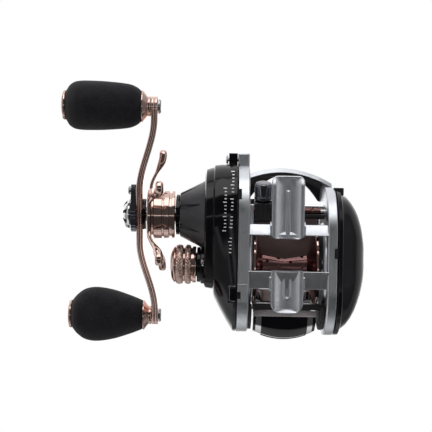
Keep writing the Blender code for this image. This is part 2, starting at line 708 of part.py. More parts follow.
def screw_along_x(name, head_x, end_x, axis, head_r, shank_r, head_h=1.0):
    """A pan-head screw whose head stands outwards from head_x and whose shank ends at end_x."""
    out = 1 if head_x > end_x else -1
    screw = lathe(
        name,
        [(end_x, 0), (end_x, shank_r), (head_x, shank_r), (head_x, head_r),
         (head_x + out * head_h * 0.6, head_r), (head_x + out * head_h, head_r * 0.7),
         (head_x + out * head_h, 0)],
        axis, "steel", steps=10,
    )
    top = head_x + out * head_h
    slot = sorted((top - out * 0.5, top + out * 0.5))
    cut(screw, block("slot", *slot, axis[0] - head_r * 1.2, axis[0] + head_r * 1.2,
                     axis[1] - 0.25, axis[1] + 0.25))
    return screw


def make_drive_parts():
    """Everything stacked on the drive shaft inside the gearbox."""
    lathe(
        "drive_shaft",
        [(18.2, 0), (18.2, 1.95), (20.6, 1.95), (20.6, 2.5), (22.8, 2.5), (22.8, 6.4), (24.0, 6.4),
         (24.0, 3.0), (61.8, 3.0), (61.8, 2.55), (69.9, 2.55), (69.9, 0)],
        DRIVE, "steel",
    )
    bearing("drive_shaft_bearing", 17.9, 20.1, 2.15, 4.0, DRIVE)
    gear("level_wind_drive_gear", WIND_DRIVE_TEETH, WIND_MODULE, 20.9, 22.4, DRIVE, 2.8, "brass",
         phase=atan2(WORM[1] - DRIVE[1], WORM[0] - DRIVE[0]))
    ratchet = []
    for tooth in range(12):
        start = tooth * tau / 12
        for turn, radius in ((0.0, 8.4), (0.15, 8.4), (0.25, 6.6), (0.75, 6.6)):
            angle = start + turn * tau / 12
            ratchet.append((DRIVE[0] + radius * cos(angle), DRIVE[1] + radius * sin(angle)))
    wheel = prism("ratchet_wheel", ratchet, 24.3, 25.2, "steel")
    cut(wheel, rod("bore", 24.0, 25.6, 3.2, DRIVE))
    main = gear("main_gear", MAIN_TEETH, GEAR_MODULE, 25.5, 29.7, DRIVE, 3.25, "brass",
                phase=pi + pi / MAIN_TEETH)
    cut(main, rod("drag_room", 26.8, 31.0, 16.2, DRIVE))
    ring("drag_washer", 27.1, 28.0, 3.3, 15.6, DRIVE, "carbon_fibre")
    ring("drag_pressure_plate", 28.3, 29.4, 3.3, 15.2, DRIVE, "steel")
    ring("anti_reverse_sleeve", 29.8, 45.2, 3.2, 4.0, DRIVE, "steel")


def bearing(name, x0, x1, inner, outer, axis):
    """A ball bearing with closed shields."""
    return ring(name, x0, x1, inner, outer, axis, "steel")


def make_clutch():
    """Yoke that lifts the pinion off the spool, and the two posts that it slides on."""
    y0, y1, reach, corner = -16.6, -8.4, 8.8, 2.6
    outline = []
    for side in (1, -1):
        outline += [(y1, SPOOL[1] - side * reach), (y0 + corner, SPOOL[1] - side * reach),
                    (y0, SPOOL[1] - side * (reach - corner))][::side]
    yoke = prism("clutch_yoke", outline, 30.2, 31.0, "steel")
    cut(yoke, rod("neck_room", 29.0, 32.0, 2.6, SPOOL, steps=16))
    cut(yoke, block("neck_mouth", 29.0, 32.0, -10.0, -7.0, SPOOL[1] - 2.6, SPOOL[1] + 2.6))
    for z, name in zip(YOKE_POST_ZS, ("yoke_post_lower", "yoke_post_upper")):
        cut(yoke, rod("post_hole", 29.0, 32.0, 1.25, (YOKE_POST_Y, z), steps=FEW))
        rod(name, 17.0, 32.7, 1.0, (YOKE_POST_Y, z), "steel", steps=FEW)


def hang_on_joint_axes():
    """Parents each group of moving pieces to an empty that lies on its joint's axis."""
    knob_axes = [handle_point(79.0, side * KNOB_RADIUS, 0) for side in (1, -1)]
    groups = {
        "spool_axis": ((0.0, *SPOOL), ("spool", "spool_shaft")),
        "pinion_axis": ((27.0, *SPOOL), ("pinion_gear",)),
        "clutch_axis": ((30.6, *SPOOL), ("clutch_yoke",)),
        "drive_axis": ((62.0, *DRIVE), (
            "drive_shaft", "level_wind_drive_gear", "ratchet_wheel", "main_gear", "drag_washer",
            "drag_pressure_plate", "anti_reverse_sleeve", "handle_arm", "handle_nut",
            "nut_lock_plate", "lock_plate_screw", "front_knob_post", "rear_knob_post",
        )),
        "star_axis": ((55.0, *DRIVE), ("star_drag",)),
        "front_knob_axis": (knob_axes[0], (
            "front_knob_grip", "front_knob_collar", "front_knob_cap",
        )),
        "rear_knob_axis": (knob_axes[1], ("rear_knob_grip", "rear_knob_collar", "rear_knob_cap")),
        "worm_axis": ((0.0, *WORM), ("worm_shaft", "worm_gear")),
        "carriage_axis": ((GUIDE_X, *WORM), (
            "line_guide", "line_guide_insert", "line_guide_pawl", "pawl_cap",
        )),
        "thumb_axis": ((0.0, -33.0, 26.0), ("thumb_bar", "thumb_bar_lip")),
        "cast_control_axis": ((45.0, *SPOOL), ("tension_knob", "tension_shim")),
        "brake_dial_axis": ((-33.0, *SPOOL), ("brake_dial",)),
        "brake_magnet_axis": ((-18.5, *SPOOL), ("brake_magnet_ring",)),
    }
    for name, (point, nodes) in groups.items():
        empty = bpy.data.objects.new(name, None)
        empty.empty_display_size = 5 * MM
        empty.location = at(*point) * MM
        bpy.context.scene.collection.objects.link(empty)
        for node in nodes:
            obj = bpy.data.objects[node]
            obj.parent = empty
            obj.matrix_parent_inverse = Matrix.Translation(-empty.location)


def main():
    for obj in list(bpy.data.objects):
        bpy.data.objects.remove(obj)

    make_frame()
    make_handle_cover()
    make_palm_cover()
    make_hood()

    make_spool()
    shaft = rod("spool_shaft", -24.8, 42.4, 1.25, SPOOL, "steel", steps=16)
    pin = rod("pin", -2.15, 2.15, 0.5, (SEAT_Y, 0), steps=16)
    pin.data.transform(Matrix.Translation(at(17.9, *SPOOL)) @ Matrix.Rotation(pi / 2, 4, "Z"))
    fuse(shaft, pin)
    make_pinion()
    bearing("pinion_bearing", 17.9, 20.2, 2.45, 5.0, SPOOL)
    bearing("spool_bearing_handle_side", 35.6, 37.8, 1.5, 4.0, SPOOL)
    bearing("spool_bearing_palm_side", -24.6, -22.4, 1.5, 4.0, SPOOL)
    make_clutch()
    make_drive_parts()
    ring("one_way_bearing", 36.2, 43.6, 4.2, 7.0, DRIVE, "steel")
    ring("bearing_cap", 46.3, 47.9, 4.4, 9.2, DRIVE, "gloss_black")
    make_star()
    make_handle_arm()
    make_nut_parts()
    make_knob("front", 1, pi / 2)
    make_knob("rear", -1, 0.0)

    make_worm()
    bearing("worm_bush", 16.4, 19.9, 1.35, 2.5, WORM)
    gear("worm_gear", WIND_WORM_TEETH, WIND_MODULE, 20.9, 22.4, WORM, 1.35, "brass",
         phase=atan2(DRIVE[1] - WORM[1], DRIVE[0] - WORM[0]) + pi / WIND_WORM_TEETH)
    make_worm_guard()
    rod("guide_rod", PALM_PLATE[1] - 1.9, HANDLE_PLATE[0] + 0.9, 0.8, GUIDE_ROD, "chrome", steps=FEW)
    make_line_guide()

    knob = [
        (50.1, 0), (50.1, 4.6), (49.6, 6.6), (48.2, 8.6), (41.0, 8.75), (40.8, 8.2), (38.7, 8.1),
        (38.7, 5.6), (44.4, 5.6), (44.4, 0),
    ]
    lathe("tension_knob", knob, SPOOL, "rose_gold")
    rod("tension_shim", 43.2, 43.8, 4.8, SPOOL, "steel", steps=16)

    plate = ring("brake_plate", -21.2, -19.6, 1.9, 17.0, SPOOL, "matte_black")
    fuse(plate, ring("hub", -25.2, -21.0, 1.9, 5.3, SPOOL))
    cut(plate, rod("seat", -26.0, -22.2, 4.15, SPOOL))
    ring("brake_magnet_ring", -19.3, -17.8, 8.0, 11.5, SPOOL, "steel")
    lathe(
        "brake_dial",
        [(-27.0, 0), (-27.0, 1.6), (-33.0, 1.6), (-33.0, 5.3), (-34.1, 5.3), (-34.6, 4.8),
         (-34.6, 0)],
        SPOOL, "black_chrome",
    )

    make_thumb_rest()
    make_thumb_bar()
    for name, x in (("thumb_bar_guide_handle_side", 14.5), ("thumb_bar_guide_palm_side", -16.5)):
        rear = [(y, z) for y, z in two_circles(HANDLE_REAR, HANDLE_FRONT, 1.2, 21) if y < -26.0]
        front = [(-25.0, 36.4), (-28.6, 30.0), (-29.8, 22.0), (-29.4, 15.0), (-25.8, 8.0)]
        prism(name, sorted(rear, key=lambda p: -p[1])[::-1] + front, x, x + 1.2, "matte_black")
    block("rear_cross_bar", -15.0, 14.2, -28.0, -25.4, 6.4, 11.4, "matte_black")
    block("thumb_bar_lip", -13.5, 13.5, -31.0, -29.0, 10.3, 11.5, "rose_gold")

    screw_along_x("lug_screw", 25.4, 20.0, LUG_SCREW, 1.9, 0.8)
    for i, axis in enumerate(COVER_SCREWS):
        screw_along_x("cover_screw_%d" % (i + 1), 35.5, 31.0, axis, 1.7, 0.75)

    for obj in bpy.data.objects:
        obj.data.transform(Matrix.Scale(MM, 4))
    hang_on_joint_axes()


main()
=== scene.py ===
"""Looks of the low-profile baitcasting reel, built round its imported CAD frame.

Shapes are made in millimetres, with Y counted from the middle of the foot, as in the CAD, and are
scaled to metres when they are finished.
"""

import json
from math import acos, atan2, copysign, cos, hypot, pi, radians, sin, sqrt, tan, tau

import bmesh
import bpy
from mathutils import Matrix, Vector
from mathutils.bvhtree import BVHTree


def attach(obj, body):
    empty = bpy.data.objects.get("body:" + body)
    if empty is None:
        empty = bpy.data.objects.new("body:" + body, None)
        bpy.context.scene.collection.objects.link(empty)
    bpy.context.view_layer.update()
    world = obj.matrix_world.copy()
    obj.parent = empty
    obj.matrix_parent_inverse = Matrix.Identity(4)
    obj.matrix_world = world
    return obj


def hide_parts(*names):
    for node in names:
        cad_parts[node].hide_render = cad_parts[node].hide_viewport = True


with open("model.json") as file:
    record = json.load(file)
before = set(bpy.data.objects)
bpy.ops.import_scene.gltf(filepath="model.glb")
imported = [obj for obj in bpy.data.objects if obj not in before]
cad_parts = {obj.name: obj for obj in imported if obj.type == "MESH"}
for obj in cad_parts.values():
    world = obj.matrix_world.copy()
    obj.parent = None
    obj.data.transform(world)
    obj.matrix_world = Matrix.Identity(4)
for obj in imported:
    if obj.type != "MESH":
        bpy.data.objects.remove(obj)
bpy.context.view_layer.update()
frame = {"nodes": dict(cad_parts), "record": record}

MM = 0.001
SEAT_Y = 16.0
STEPS = 96
SHARP = radians(32)
# Corners outside these angles stay as they are when an outline is rounded.
SHARPEST_CORNER, FLATTEST_CORNER = radians(8), radians(160)

# Axes, all parallel to X, as (y, z).
SPOOL = (-10.0, 22.0)
DRIVE = (11.9, 22.0)
WORM = (14.0, 10.95)
GUIDE_ROD = (16.3, 16.6)

# Foot, as in the CAD.
FOOT_HALF = 6.9
FOOT_THICK = 2.6
FOOT_TIP = 29.0
FRONT_ROOT = 2.4
REAR_ROOT = -11.0

# Side plates as circles (y, z, radius) at the rear and at the front.
HANDLE_REAR = (-17.6, 22.0, 21.5)
HANDLE_FRONT = (12.5, 22.0, 21.6)
PALM_REAR = (-18.5, 22.0, 21.5)
PALM_FRONT = (4.0, 22.0, 21.0)
RIM_INNER = 17.4
RIM_OUTER = 19.0

# Handle.
HANDLE_TIP = radians(18.1)
KNOB_RADIUS = 48.3
ARM_TIP_R = 4.3
ARM_X = 63.85
ARM_SWEEP = 6.5
KNOB_INNER_X = 62.9
KNOB_LENGTH = 32.1

# Star drag.
STAR_ARMS = 5
STAR_FIRST = radians(-7.0)
STAR_PADDLE_R = 26.3

SPOOL_WAIST = 3.4
GUIDE_X = 10.25
CAP_TILT = radians(19.0)


# ---------------------------------------------------------------- materials


def set_inputs(node, **values):
    for name, value in values.items():
        node.inputs[name.replace("_", " ")].default_value = value


class Nodes:
    """A node tree under construction."""

    def __init__(self, tree):
        self.tree = tree

    def add(self, kind, **settings):
        node = self.tree.nodes.new(kind)
        for key, value in settings.items():
            setattr(node, key, value)
        return node

    def join(self, source, target):
        self.tree.links.new(source, target)

    def math(self, operation, *values):
        """The result for two values, each a number or a socket."""
        node = self.add("ShaderNodeMath", operation=operation)
        for socket, value in zip(node.inputs, values):
            if isinstance(value, (int, float)):
                socket.default_value = value
            else:
                self.join(value, socket)
        return node.outputs["Value"]


class Look(Nodes):
    """A procedural material: its shader, and the object's coordinates for its textures."""

    def __init__(self, name):
        self.material = bpy.data.materials.new(name)
        self.material.use_nodes = True
        super().__init__(self.material.node_tree)
        self.shader = self.tree.nodes["Principled BSDF"]
        self.space = self.add("ShaderNodeTexCoord").outputs["Object"]

    def noise(self, per_mm, stretch=(1, 1, 1), detail=3.0, roughness=0.55):
        """Noise with that many features in a millimetre, stretched along the axes."""
        mapping = self.add("ShaderNodeMapping")
        self.join(self.space, mapping.inputs["Vector"])
        mapping.inputs["Scale"].default_value = stretch
        noise = self.add("ShaderNodeTexNoise")
        self.join(mapping.outputs["Vector"], noise.inputs["Vector"])
        set_inputs(noise, Scale=per_mm / MM, Detail=detail, Roughness=roughness)
        return noise.outputs["Fac"]

    def span(self, value, low, high, start=0.3, end=0.7):
        """The value from start to end, moved to the span from low to high."""
        node = self.add("ShaderNodeMapRange")
        self.join(value, node.inputs["Value"])
        set_inputs(node, From_Min=start, From_Max=end, To_Min=low, To_Max=high)
        return node.outputs["Result"]

    def blend(self, factor, first, second):
        """Mixes two colours, each a colour or a socket, by the factor socket."""
        node = self.add("ShaderNodeMix", data_type="RGBA")
        self.join(factor, node.inputs["Factor"])
        for socket, colour in ((node.inputs["A"], first), (node.inputs["B"], second)):
            if isinstance(colour, tuple):
                socket.default_value = (*colour, 1)
            else:
                self.join(colour, socket)
        return node.outputs["Result"]

    def bump(self, height, depth_mm, strength=1.0, under=None):
        node = self.add("ShaderNodeBump")
        set_inputs(node, Strength=strength, Distance=depth_mm * MM)
        self.join(height, node.inputs["Height"])
        if under is not None:
            self.join(under, node.inputs["Normal"])
        return node.outputs["Normal"]

    def edges(self, radius_mm=0.25):
        """1 on sharp edges, where handling wears the finish, and 0 on open faces."""
        bevel = self.add("ShaderNodeBevel", samples=4)
        bevel.inputs["Radius"].default_value = radius_mm * MM
        plain = self.add("ShaderNodeNewGeometry")
        dot = self.add("ShaderNodeVectorMath", operation="DOT_PRODUCT")
        self.join(bevel.outputs["Normal"], dot.inputs[0])
        self.join(plain.outputs["Normal"], dot.inputs[1])
        return self.span(dot.outputs["Value"], 1.0, 0.0, start=0.90, end=0.995)


def metal(name, colour, roughness, grain, shade=0.75, wear=0.35):
    """Metal with uneven tone, a fine grain or brushing, and brighter worn edges."""
    look = Look(name)
    per_mm, stretch, depth = grain
    tone = look.span(look.noise(0.12, detail=4.0), 0.0, 1.0)
    dull = tuple(c * shade for c in colour)
    bright = tuple(min(1.0, c * 1.25 + 0.04) for c in colour)
    surface = look.blend(tone, dull, colour)
    worn = look.span(look.edges(), 0.0, wear, start=0.0, end=1.0)
    look.join(look.blend(worn, surface, bright), look.shader.inputs["Base Color"])
    fine = look.noise(per_mm, stretch)
    smear = look.noise(0.5, detail=5.0, roughness=0.65)
    uneven = look.math("ADD", fine, smear)
    look.join(look.span(uneven, roughness * 0.7, roughness * 1.35, start=0.7, end=1.3),
              look.shader.inputs["Roughness"])
    look.join(look.bump(fine, depth), look.shader.inputs["Normal"])
    set_inputs(look.shader, Metallic=1.0)
    return look.material


def plastic(name, colour, roughness, grain, dust, specular=0.5, coat=0.0):
    """Moulded or painted plastic: an uneven skin, faint smears and a little dust."""
    look = Look(name)
    per_mm, depth = grain
    tone = look.span(look.noise(0.09, detail=4.0), 0.0, 1.0)
    lighter = tuple(c * 1.7 + 0.002 for c in colour)
    surface = look.blend(tone, colour, lighter)
    specks = look.span(look.noise(4.5, detail=2.0), 0.0, dust, start=0.68, end=0.75)
    grey = tuple(c * 0.6 + 0.08 for c in colour)
    look.join(look.blend(specks, surface, grey), look.shader.inputs["Base Color"])
    smear = look.noise(0.35, (1, 1.8, 1), detail=6.0, roughness=0.65)
    look.join(
        look.span(smear, roughness * 0.75, roughness * 1.4), look.shader.inputs["Roughness"]
    )
    look.join(look.bump(look.noise(per_mm, detail=2.0), depth), look.shader.inputs["Normal"])
    set_inputs(look.shader, IOR=1.5, Specular_IOR_Level=specular, Coat_Weight=coat,
               Coat_Roughness=0.06)
    return look.material


def foam():
    """Closed-cell grip foam: fine open pores in a dull skin, with the pores darkened by painted shade.
    """
    look = Look("foam_black")
    cells = look.add("ShaderNodeTexVoronoi", feature="F1")
    look.join(look.space, cells.inputs["Vector"])
    cells.inputs["Scale"].default_value = 2.6 / MM
    # Darker colour in the pores is painted shade in the pits, not a different colour of foam.
    pore_shade = look.span(cells.outputs["Distance"], 0.0, 1.0, start=0.15, end=0.6)
    patches = look.span(look.noise(0.25, detail=5.0), 0.0, 1.0)
    skin = look.blend(patches, (0.011, 0.011, 0.014), (0.024, 0.024, 0.03))
    look.join(look.blend(pore_shade, (0.004, 0.004, 0.005), skin), look.shader.inputs["Base Color"])
    grit = look.noise(5.0, detail=3.0)
    rough = look.span(grit, 0.82, 1.0)
    look.join(rough, look.shader.inputs["Roughness"])
    cell_bump = look.bump(cells.outputs["Distance"], 0.06, 0.6)
    look.join(look.bump(grit, 0.05, 0.7, under=cell_bump), look.shader.inputs["Normal"])
    set_inputs(look.shader, Sheen_Weight=0.12, Sheen_Roughness=0.6, Specular_IOR_Level=0.25)
    return look.material


def carbon():
    """Woven washer cloth: two crossing sets of threads."""
    look = Look("carbon_fibre")
    waves = []
    for direction in ("Y", "Z"):
        wave = look.add("ShaderNodeTexWave", bands_direction=direction)
        look.join(look.space, wave.inputs["Vector"])
        set_inputs(wave, Scale=0.5 / MM, Distortion=0.4)
        waves.append(wave.outputs["Fac"])
    both = look.math("MULTIPLY", *waves)
    look.join(look.blend(both, (0.012, 0.012, 0.013), (0.07, 0.07, 0.075)),
              look.shader.inputs["Base Color"])
    look.join(look.span(both, 0.35, 0.7, 0.0, 1.0), look.shader.inputs["Roughness"])
    look.join(look.bump(both, 0.03), look.shader.inputs["Normal"])
    return look.material


ROUND = (1, 1, 1)
# Colour, roughness, grain as (features per mm, stretch, depth), then shade and wear where they differ.
METALS = {
    "satin_silver": ((0.72, 0.74, 0.78), 0.37, (7.0, ROUND, 0.006), 0.9),
    "chrome": ((0.86, 0.87, 0.88), 0.09, (5.0, ROUND, 0.001), 0.9),
    "black_chrome": ((0.24, 0.24, 0.27), 0.09, (5.0, ROUND, 0.002), 0.75),
    "rose_gold": ((0.72, 0.52, 0.46), 0.1, (5.0, ROUND, 0.0006), 0.88),
    # The handle arm's rose gold is a lighter copy of rose_gold: painted light on the arm.
    "rose_gold_arm_lit": ((0.82, 0.61, 0.55), 0.17, (5.0, ROUND, 0.0003), 0.92, 0.0),
    "copper_brown": ((0.4, 0.21, 0.2), 0.16, (6.0, (4, 0.3, 0.3), 0.002), 0.8),
    "worm_brown": ((0.15, 0.075, 0.068), 0.25, (6.0, ROUND, 0.002), 0.7),
    "pink_grey": ((0.74, 0.66, 0.66), 0.55, (6.0, ROUND, 0.004), 0.85, 0.2),
    # The thumb rest's grey-brown is painted shade and a painted reflection of the maroon spool.
    "rest_painted_reflection": ((0.5, 0.42, 0.42), 0.55, (6.0, ROUND, 0.004), 0.85, 0.2),
    "brass": ((0.66, 0.5, 0.22), 0.28, (5.0, (0.2, 1, 1), 0.003)),
    "steel": ((0.55, 0.55, 0.57), 0.25, (6.0, (0.2, 1, 1), 0.003)),
}
# Colour, roughness, grain as (features per mm, depth), dust, then specular level and coat.
PLASTICS = {
    "lip_grey": ((0.5, 0.45, 0.46), 0.3, (4.0, 0.003), 0.1),
    "gloss_black": ((0.004, 0.004, 0.006), 0.1, (0.8, 0.0025), 0.04, 0.32),
    "violet_black": ((0.007, 0.005, 0.009), 0.14, (0.8, 0.0025), 0.04, 0.32),
    "cone_black": ((0.045, 0.045, 0.05), 0.34, (4.0, 0.003), 0.05),
    "satin_black": ((0.012, 0.012, 0.014), 0.3, (4.0, 0.004), 0.1),
    "matte_black": ((0.01, 0.01, 0.012), 0.52, (5.0, 0.008), 0.12),
    "print_white": ((0.8, 0.8, 0.8), 0.45, (6.0, 0.004), 0.1),
    "ceramic_white": ((0.8, 0.81, 0.79), 0.16, (5.0, 0.002), 0.15, 0.5, 0.4),
}
LOOKS = {name: metal(name, *values) for name, values in METALS.items()}
LOOKS.update({name: plastic(name, *values) for name, values in PLASTICS.items()})
LOOKS["carbon_fibre"] = carbon()
LOOKS["foam_black"] = foam()


# ---------------------------------------------------------------- shapes


def at(x, y, z):
    """A reel point, still in millimetres, counted from the scene origin."""
    return Vector((x, y - SEAT_Y, z))


def rounded(points, radius, closed=True, parts=3):
    """The outline with each of its corners replaced by a small arc."""
    count = len(points)
    result = []
    for i, (px, py) in enumerate(points):
        ax, ay = points[i - 1]
        bx, by = points[(i + 1) % count]
        before, after = hypot(ax - px, ay - py), hypot(bx - px, by - py)
        inside = 0.0
        if min(before, after) >= 1e-6 and (closed or 0 < i < count - 1):
            ua, va = (ax - px) / before, (ay - py) / before
            ub, vb = (bx - px) / after, (by - py) / after
            inside = acos(max(-1.0, min(1.0, ua * ub + va * vb)))
        if not SHARPEST_CORNER <= inside <= FLATTEST_CORNER:
            result.append((px, py))
            continue
        reach = min(radius / tan(inside / 2), 0.45 * before, 0.45 * after)
        start = (px + ua * reach, py + va * reach)
        end = (px + ub * reach, py + vb * reach)
        for k in range(parts + 1):
            t = k / parts
            result.append(tuple(
                (1 - t) ** 2 * s + 2 * t * (1 - t) * c + t * t * e
                for s, c, e in zip(start, (px, py), end)
            ))
    return result


def link(obj):
    bpy.context.scene.collection.objects.link(obj)
    return obj


def to_object(name, bm):
    bmesh.ops.remove_doubles(bm, verts=bm.verts, dist=1e-4)
    bmesh.ops.recalc_face_normals(bm, faces=bm.faces)
    mesh = bpy.data.meshes.new(name)
    bm.to_mesh(mesh)
    bm.free()
    return link(bpy.data.objects.new(name, mesh))


def lathe(name, profile, axis, steps=STEPS, corner=0.0, wobble=None):
    """Turns a profile of (x, radius) points about an axis along X. wobble(x, radius, angle) may
    change the radius, for knurls, flutes and facets."""
    closed = bool(profile[0][1] or profile[-1][1])
    if corner:
        profile = rounded(profile, corner, closed)
    bm = bmesh.new()
    rings = []
    for x, r in profile:
        if r < 1e-6:
            rings.append([bm.verts.new(at(x, *axis))])
            continue
        ring = []
        for i in range(steps):
            angle = tau * i / steps
            radius = wobble(x, r, angle) if wobble else r
            ring.append(bm.verts.new(
                at(x, axis[0] + radius * sin(angle), axis[1] - radius * cos(angle))
            ))
        rings.append(ring)
    pairs = list(zip(rings, rings[1:])) + ([(rings[-1], rings[0])] if closed else [])
    for one, two in pairs:
        for i in range(steps):
            if len(one) == 1 and len(two) == 1:
                continue
            if len(one) == 1:
                bm.faces.new((one[0], two[i], two[i - 1]))
            elif len(two) == 1:
                bm.faces.new((one[i - 1], one[i], two[0]))
            else:
                bm.faces.new((one[i - 1], one[i], two[i], two[i - 1]))
    return to_object(name, bm)


def loft(name, sections, caps=True):
    """Skins closed sections of (x, y, z) points that all have the same count."""
    bm = bmesh.new()
    rings = [[bm.verts.new(at(*point)) for point in section] for section in sections]
    for ring, after in zip(rings, rings[1:]):
        for i in range(len(ring)):
            bm.faces.new((ring[i - 1], ring[i], after[i], after[i - 1]))
    if caps:
        bm.faces.new(rings[0])
        bm.faces.new(rings[-1])
    return to_object(name, bm)


def prism(name, outline, x0, x1):
    """Extrudes a (y, z) outline from x0 to x1."""
    return loft(name, [[(x, y, z) for y, z in outline] for x in (x0, x1)])


def block(name, x0, x1, y0, y1, z0, z1):
    return prism(name, [(y0, z0), (y1, z0), (y1, z1), (y0, z1)], x0, x1)


def rod(name, x0, x1, radius, axis, steps=STEPS, corner=0.0):
    return lathe(name, [(x0, 0), (x0, radius), (x1, radius), (x1, 0)], axis, steps, corner)


def ring(name, x0, x1, inner, outer, axis, steps=STEPS, corner=0.0):
    profile = [(x0, inner), (x0, outer), (x1, outer), (x1, inner)]
    return lathe(name, profile, axis, steps, corner)


def boolean(target, tool, operation):
    modifier = target.modifiers.new(operation, "BOOLEAN")
    modifier.operation = operation
    modifier.object = tool
    modifier.solver = "EXACT"
    bpy.context.view_layer.update()
    graph = bpy.context.evaluated_depsgraph_get()
    mesh = bpy.data.meshes.new_from_object(target.evaluated_get(graph))
    target.modifiers.clear()
    target.data = mesh
    bpy.data.objects.remove(tool)


def cut(target, *tools):
    for tool in tools:
        boolean(target, tool, "DIFFERENCE")


def fuse(target, *tools):
    for tool in tools:
        boolean(target, tool, "UNION")


def two_circles(rear, front, inset=0.0, steps=49):
    """The (y, z) outline of the taut band round two circles, made smaller by the inset."""
    (y1, z1, r1), (y2, z2, r2) = rear, front
    r1, r2 = r1 - inset, r2 - inset
    lie = atan2(z2 - z1, y2 - y1)
    spread = acos((r1 - r2) / sqrt((y2 - y1) ** 2 + (z2 - z1) ** 2))
    points = []
    for i in range(steps):
        angle = lie - spread + 2 * spread * i / (steps - 1)
        points.append((y2 + r2 * cos(angle), z2 + r2 * sin(angle)))
    for i in range(steps):
        angle = lie + spread + (tau - 2 * spread) * i / (steps - 1)
        points.append((y1 + r1 * cos(angle), z1 + r1 * sin(angle)))
    return points


def stations(low, high, count=40):
    return [low + (high - low) * i / count for i in range(count + 1)]


def smooth(value, low, high):
    """Rises smoothly from 0 at low to 1 at high."""
    t = min(max((value - low) / (high - low), 0.0), 1.0)
    return t * t * (3 - 2 * t)


def soft_edges(obj, width, parts, angle):
    bevel = obj.modifiers.new("soft_edges", "BEVEL")
    bevel.width = width * MM
    bevel.segments = parts
    bevel.limit_method = "ANGLE"
    bevel.angle_limit = angle
    return bevel


def finish(obj, look, body, *nodes, soften=0.0, parts=2, angle=SHARP):
    """Scales a piece to metres and gives it its material, its body and its soft edges."""
    obj.data.transform(Matrix.Scale(MM, 4))
    obj.data.materials.clear()
    obj.data.materials.append(LOOKS[look])
    obj.data.shade_smooth()
    obj.data.set_sharp_from_angle(angle=angle)
    if soften:
        soft_edges(obj, soften, parts, angle).harden_normals = True
    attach(obj, body)
    if nodes:
        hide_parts(*nodes)
    return obj


def decal(name, cells, target, lift, look, body):
    """Thin marks on the underside of a piece. Each cell is (x0, x1, y0, y1) in reel millimetres."""
    graph = bpy.context.evaluated_depsgraph_get()
    tree = BVHTree.FromObject(target, graph)
    bm = bmesh.new()
    across = 3
    for x0, x1, y0, y1 in cells:
        grid = []
        for i in range(across + 1):
            row = []
            for j in range(across + 1):
                x = x0 + (x1 - x0) * i / across
                y = y0 + (y1 - y0) * j / across
                start = at(x, y, -60) * MM
                hit, normal, _, _ = tree.ray_cast(start, Vector((0, 0, 1)))
                if hit is None:
                    hit, normal = at(x, y, 0) * MM, Vector((0, 0, -1))
                row.append(bm.verts.new((hit + normal * lift * MM) / MM))
            grid.append(row)
        for i in range(across):
            for j in range(across):
                bm.faces.new((grid[i][j], grid[i + 1][j], grid[i + 1][j + 1], grid[i][j + 1]))
    return finish(to_object(name, bm), look, body)


# ---------------------------------------------------------------- frame and foot


def foot_depth(x, y, rear):
    """(ramp, dish): how far the seat face of a tab stands back from its lowest plane at a point."""
    side = abs(x)
    rail = 5.2
    if rear:
        fade = smooth(y + 30.0, 0.0, 3.5)
        ramp = 0.35 * smooth(-24.5 - y, 0.0, 4.5) ** 2
    else:
        fade = smooth(29.6 - y, 0.0, 5.0)
        ramp = 1.5 * smooth(y, 24.4, 29.2)
    dish = 1.4 * max(0.0, 1 - (side / rail) ** 2)
    dish += 0.28 * (1 - smooth(side, rail - 0.1, rail + 0.12))
    dish *= fade
    if rear:
        slot_end = hypot(x, min(0.0, y + 21.6))
        dish -= 0.5 * fade * max(0.0, 1 - ((slot_end - 1.3) / 0.6) ** 2)
        dish += 0.9 * (1 - smooth(slot_end, 0.45, 0.85))
    else:
        half = 0.15 + 0.25 * (1 - smooth(y, 3.0, 23.0))
        rib = (1 - smooth(side, half, half + 0.75)) * smooth(22.8 - y, 0.0, 0.6)
        dish += (0.12 - dish) * rib
    return ramp, dish


def foot_tab(name, tip, root, corner, root_corner, rear):
    """One tab of the foot: rails, a wide dish between them, and a rib or a slot in the middle."""
    sign = 1 if tip > root else -1
    rows, columns = 130, 110
    length = abs(tip - root)
    bm = bmesh.new()
    seat, back = [], []
    for j in range(rows + 1):
        t = j / rows
        from_root = length * (t + 0.06 * sin(tau * t) / tau * -1)
        y = root + sign * from_root
        half = FOOT_HALF
        to_tip = length - from_root
        if to_tip < corner:
            half -= corner - sqrt(max(0.0, corner ** 2 - (corner - to_tip) ** 2))
        if from_root < root_corner:
            half -= root_corner - sqrt(max(0.0, root_corner ** 2 - (root_corner - from_root) ** 2))
        line, top = [], []
        for i in range(columns + 1):
            x = half * (-1 + 2 * i / columns)
            inward = min(half - abs(x), to_tip, from_root + 0.3)
            edge = 0.4 * max(0.0, 1 - inward / 0.45) ** 2
            ramp, dish = foot_depth(x, y, rear)
            line.append(bm.verts.new(at(x, y, ramp + dish * smooth(inward, 0, 0.8) + edge)))
            top.append(bm.verts.new(at(x, y, FOOT_THICK + 0.4)))
        seat.append(line)
        back.append(top)
    for grid in (seat, back):
        for j in range(rows):
            for i in range(columns):
                bm.faces.new((grid[j][i], grid[j][i + 1], grid[j + 1][i + 1], grid[j + 1][i]))
    rim_seat = border(seat)
    rim_back = border(back)
    for k in range(len(rim_seat)):
        bm.faces.new((rim_seat[k - 1], rim_seat[k], rim_back[k], rim_back[k - 1]))
    return to_object(name, bm)


def border(grid):
    """The outer points of a grid in order."""
    first, last = grid[0], grid[-1]
    right = [row[-1] for row in grid[1:-1]]
    left = [row[0] for row in grid[1:-1]]
    return first + right + last[::-1] + left[::-1]


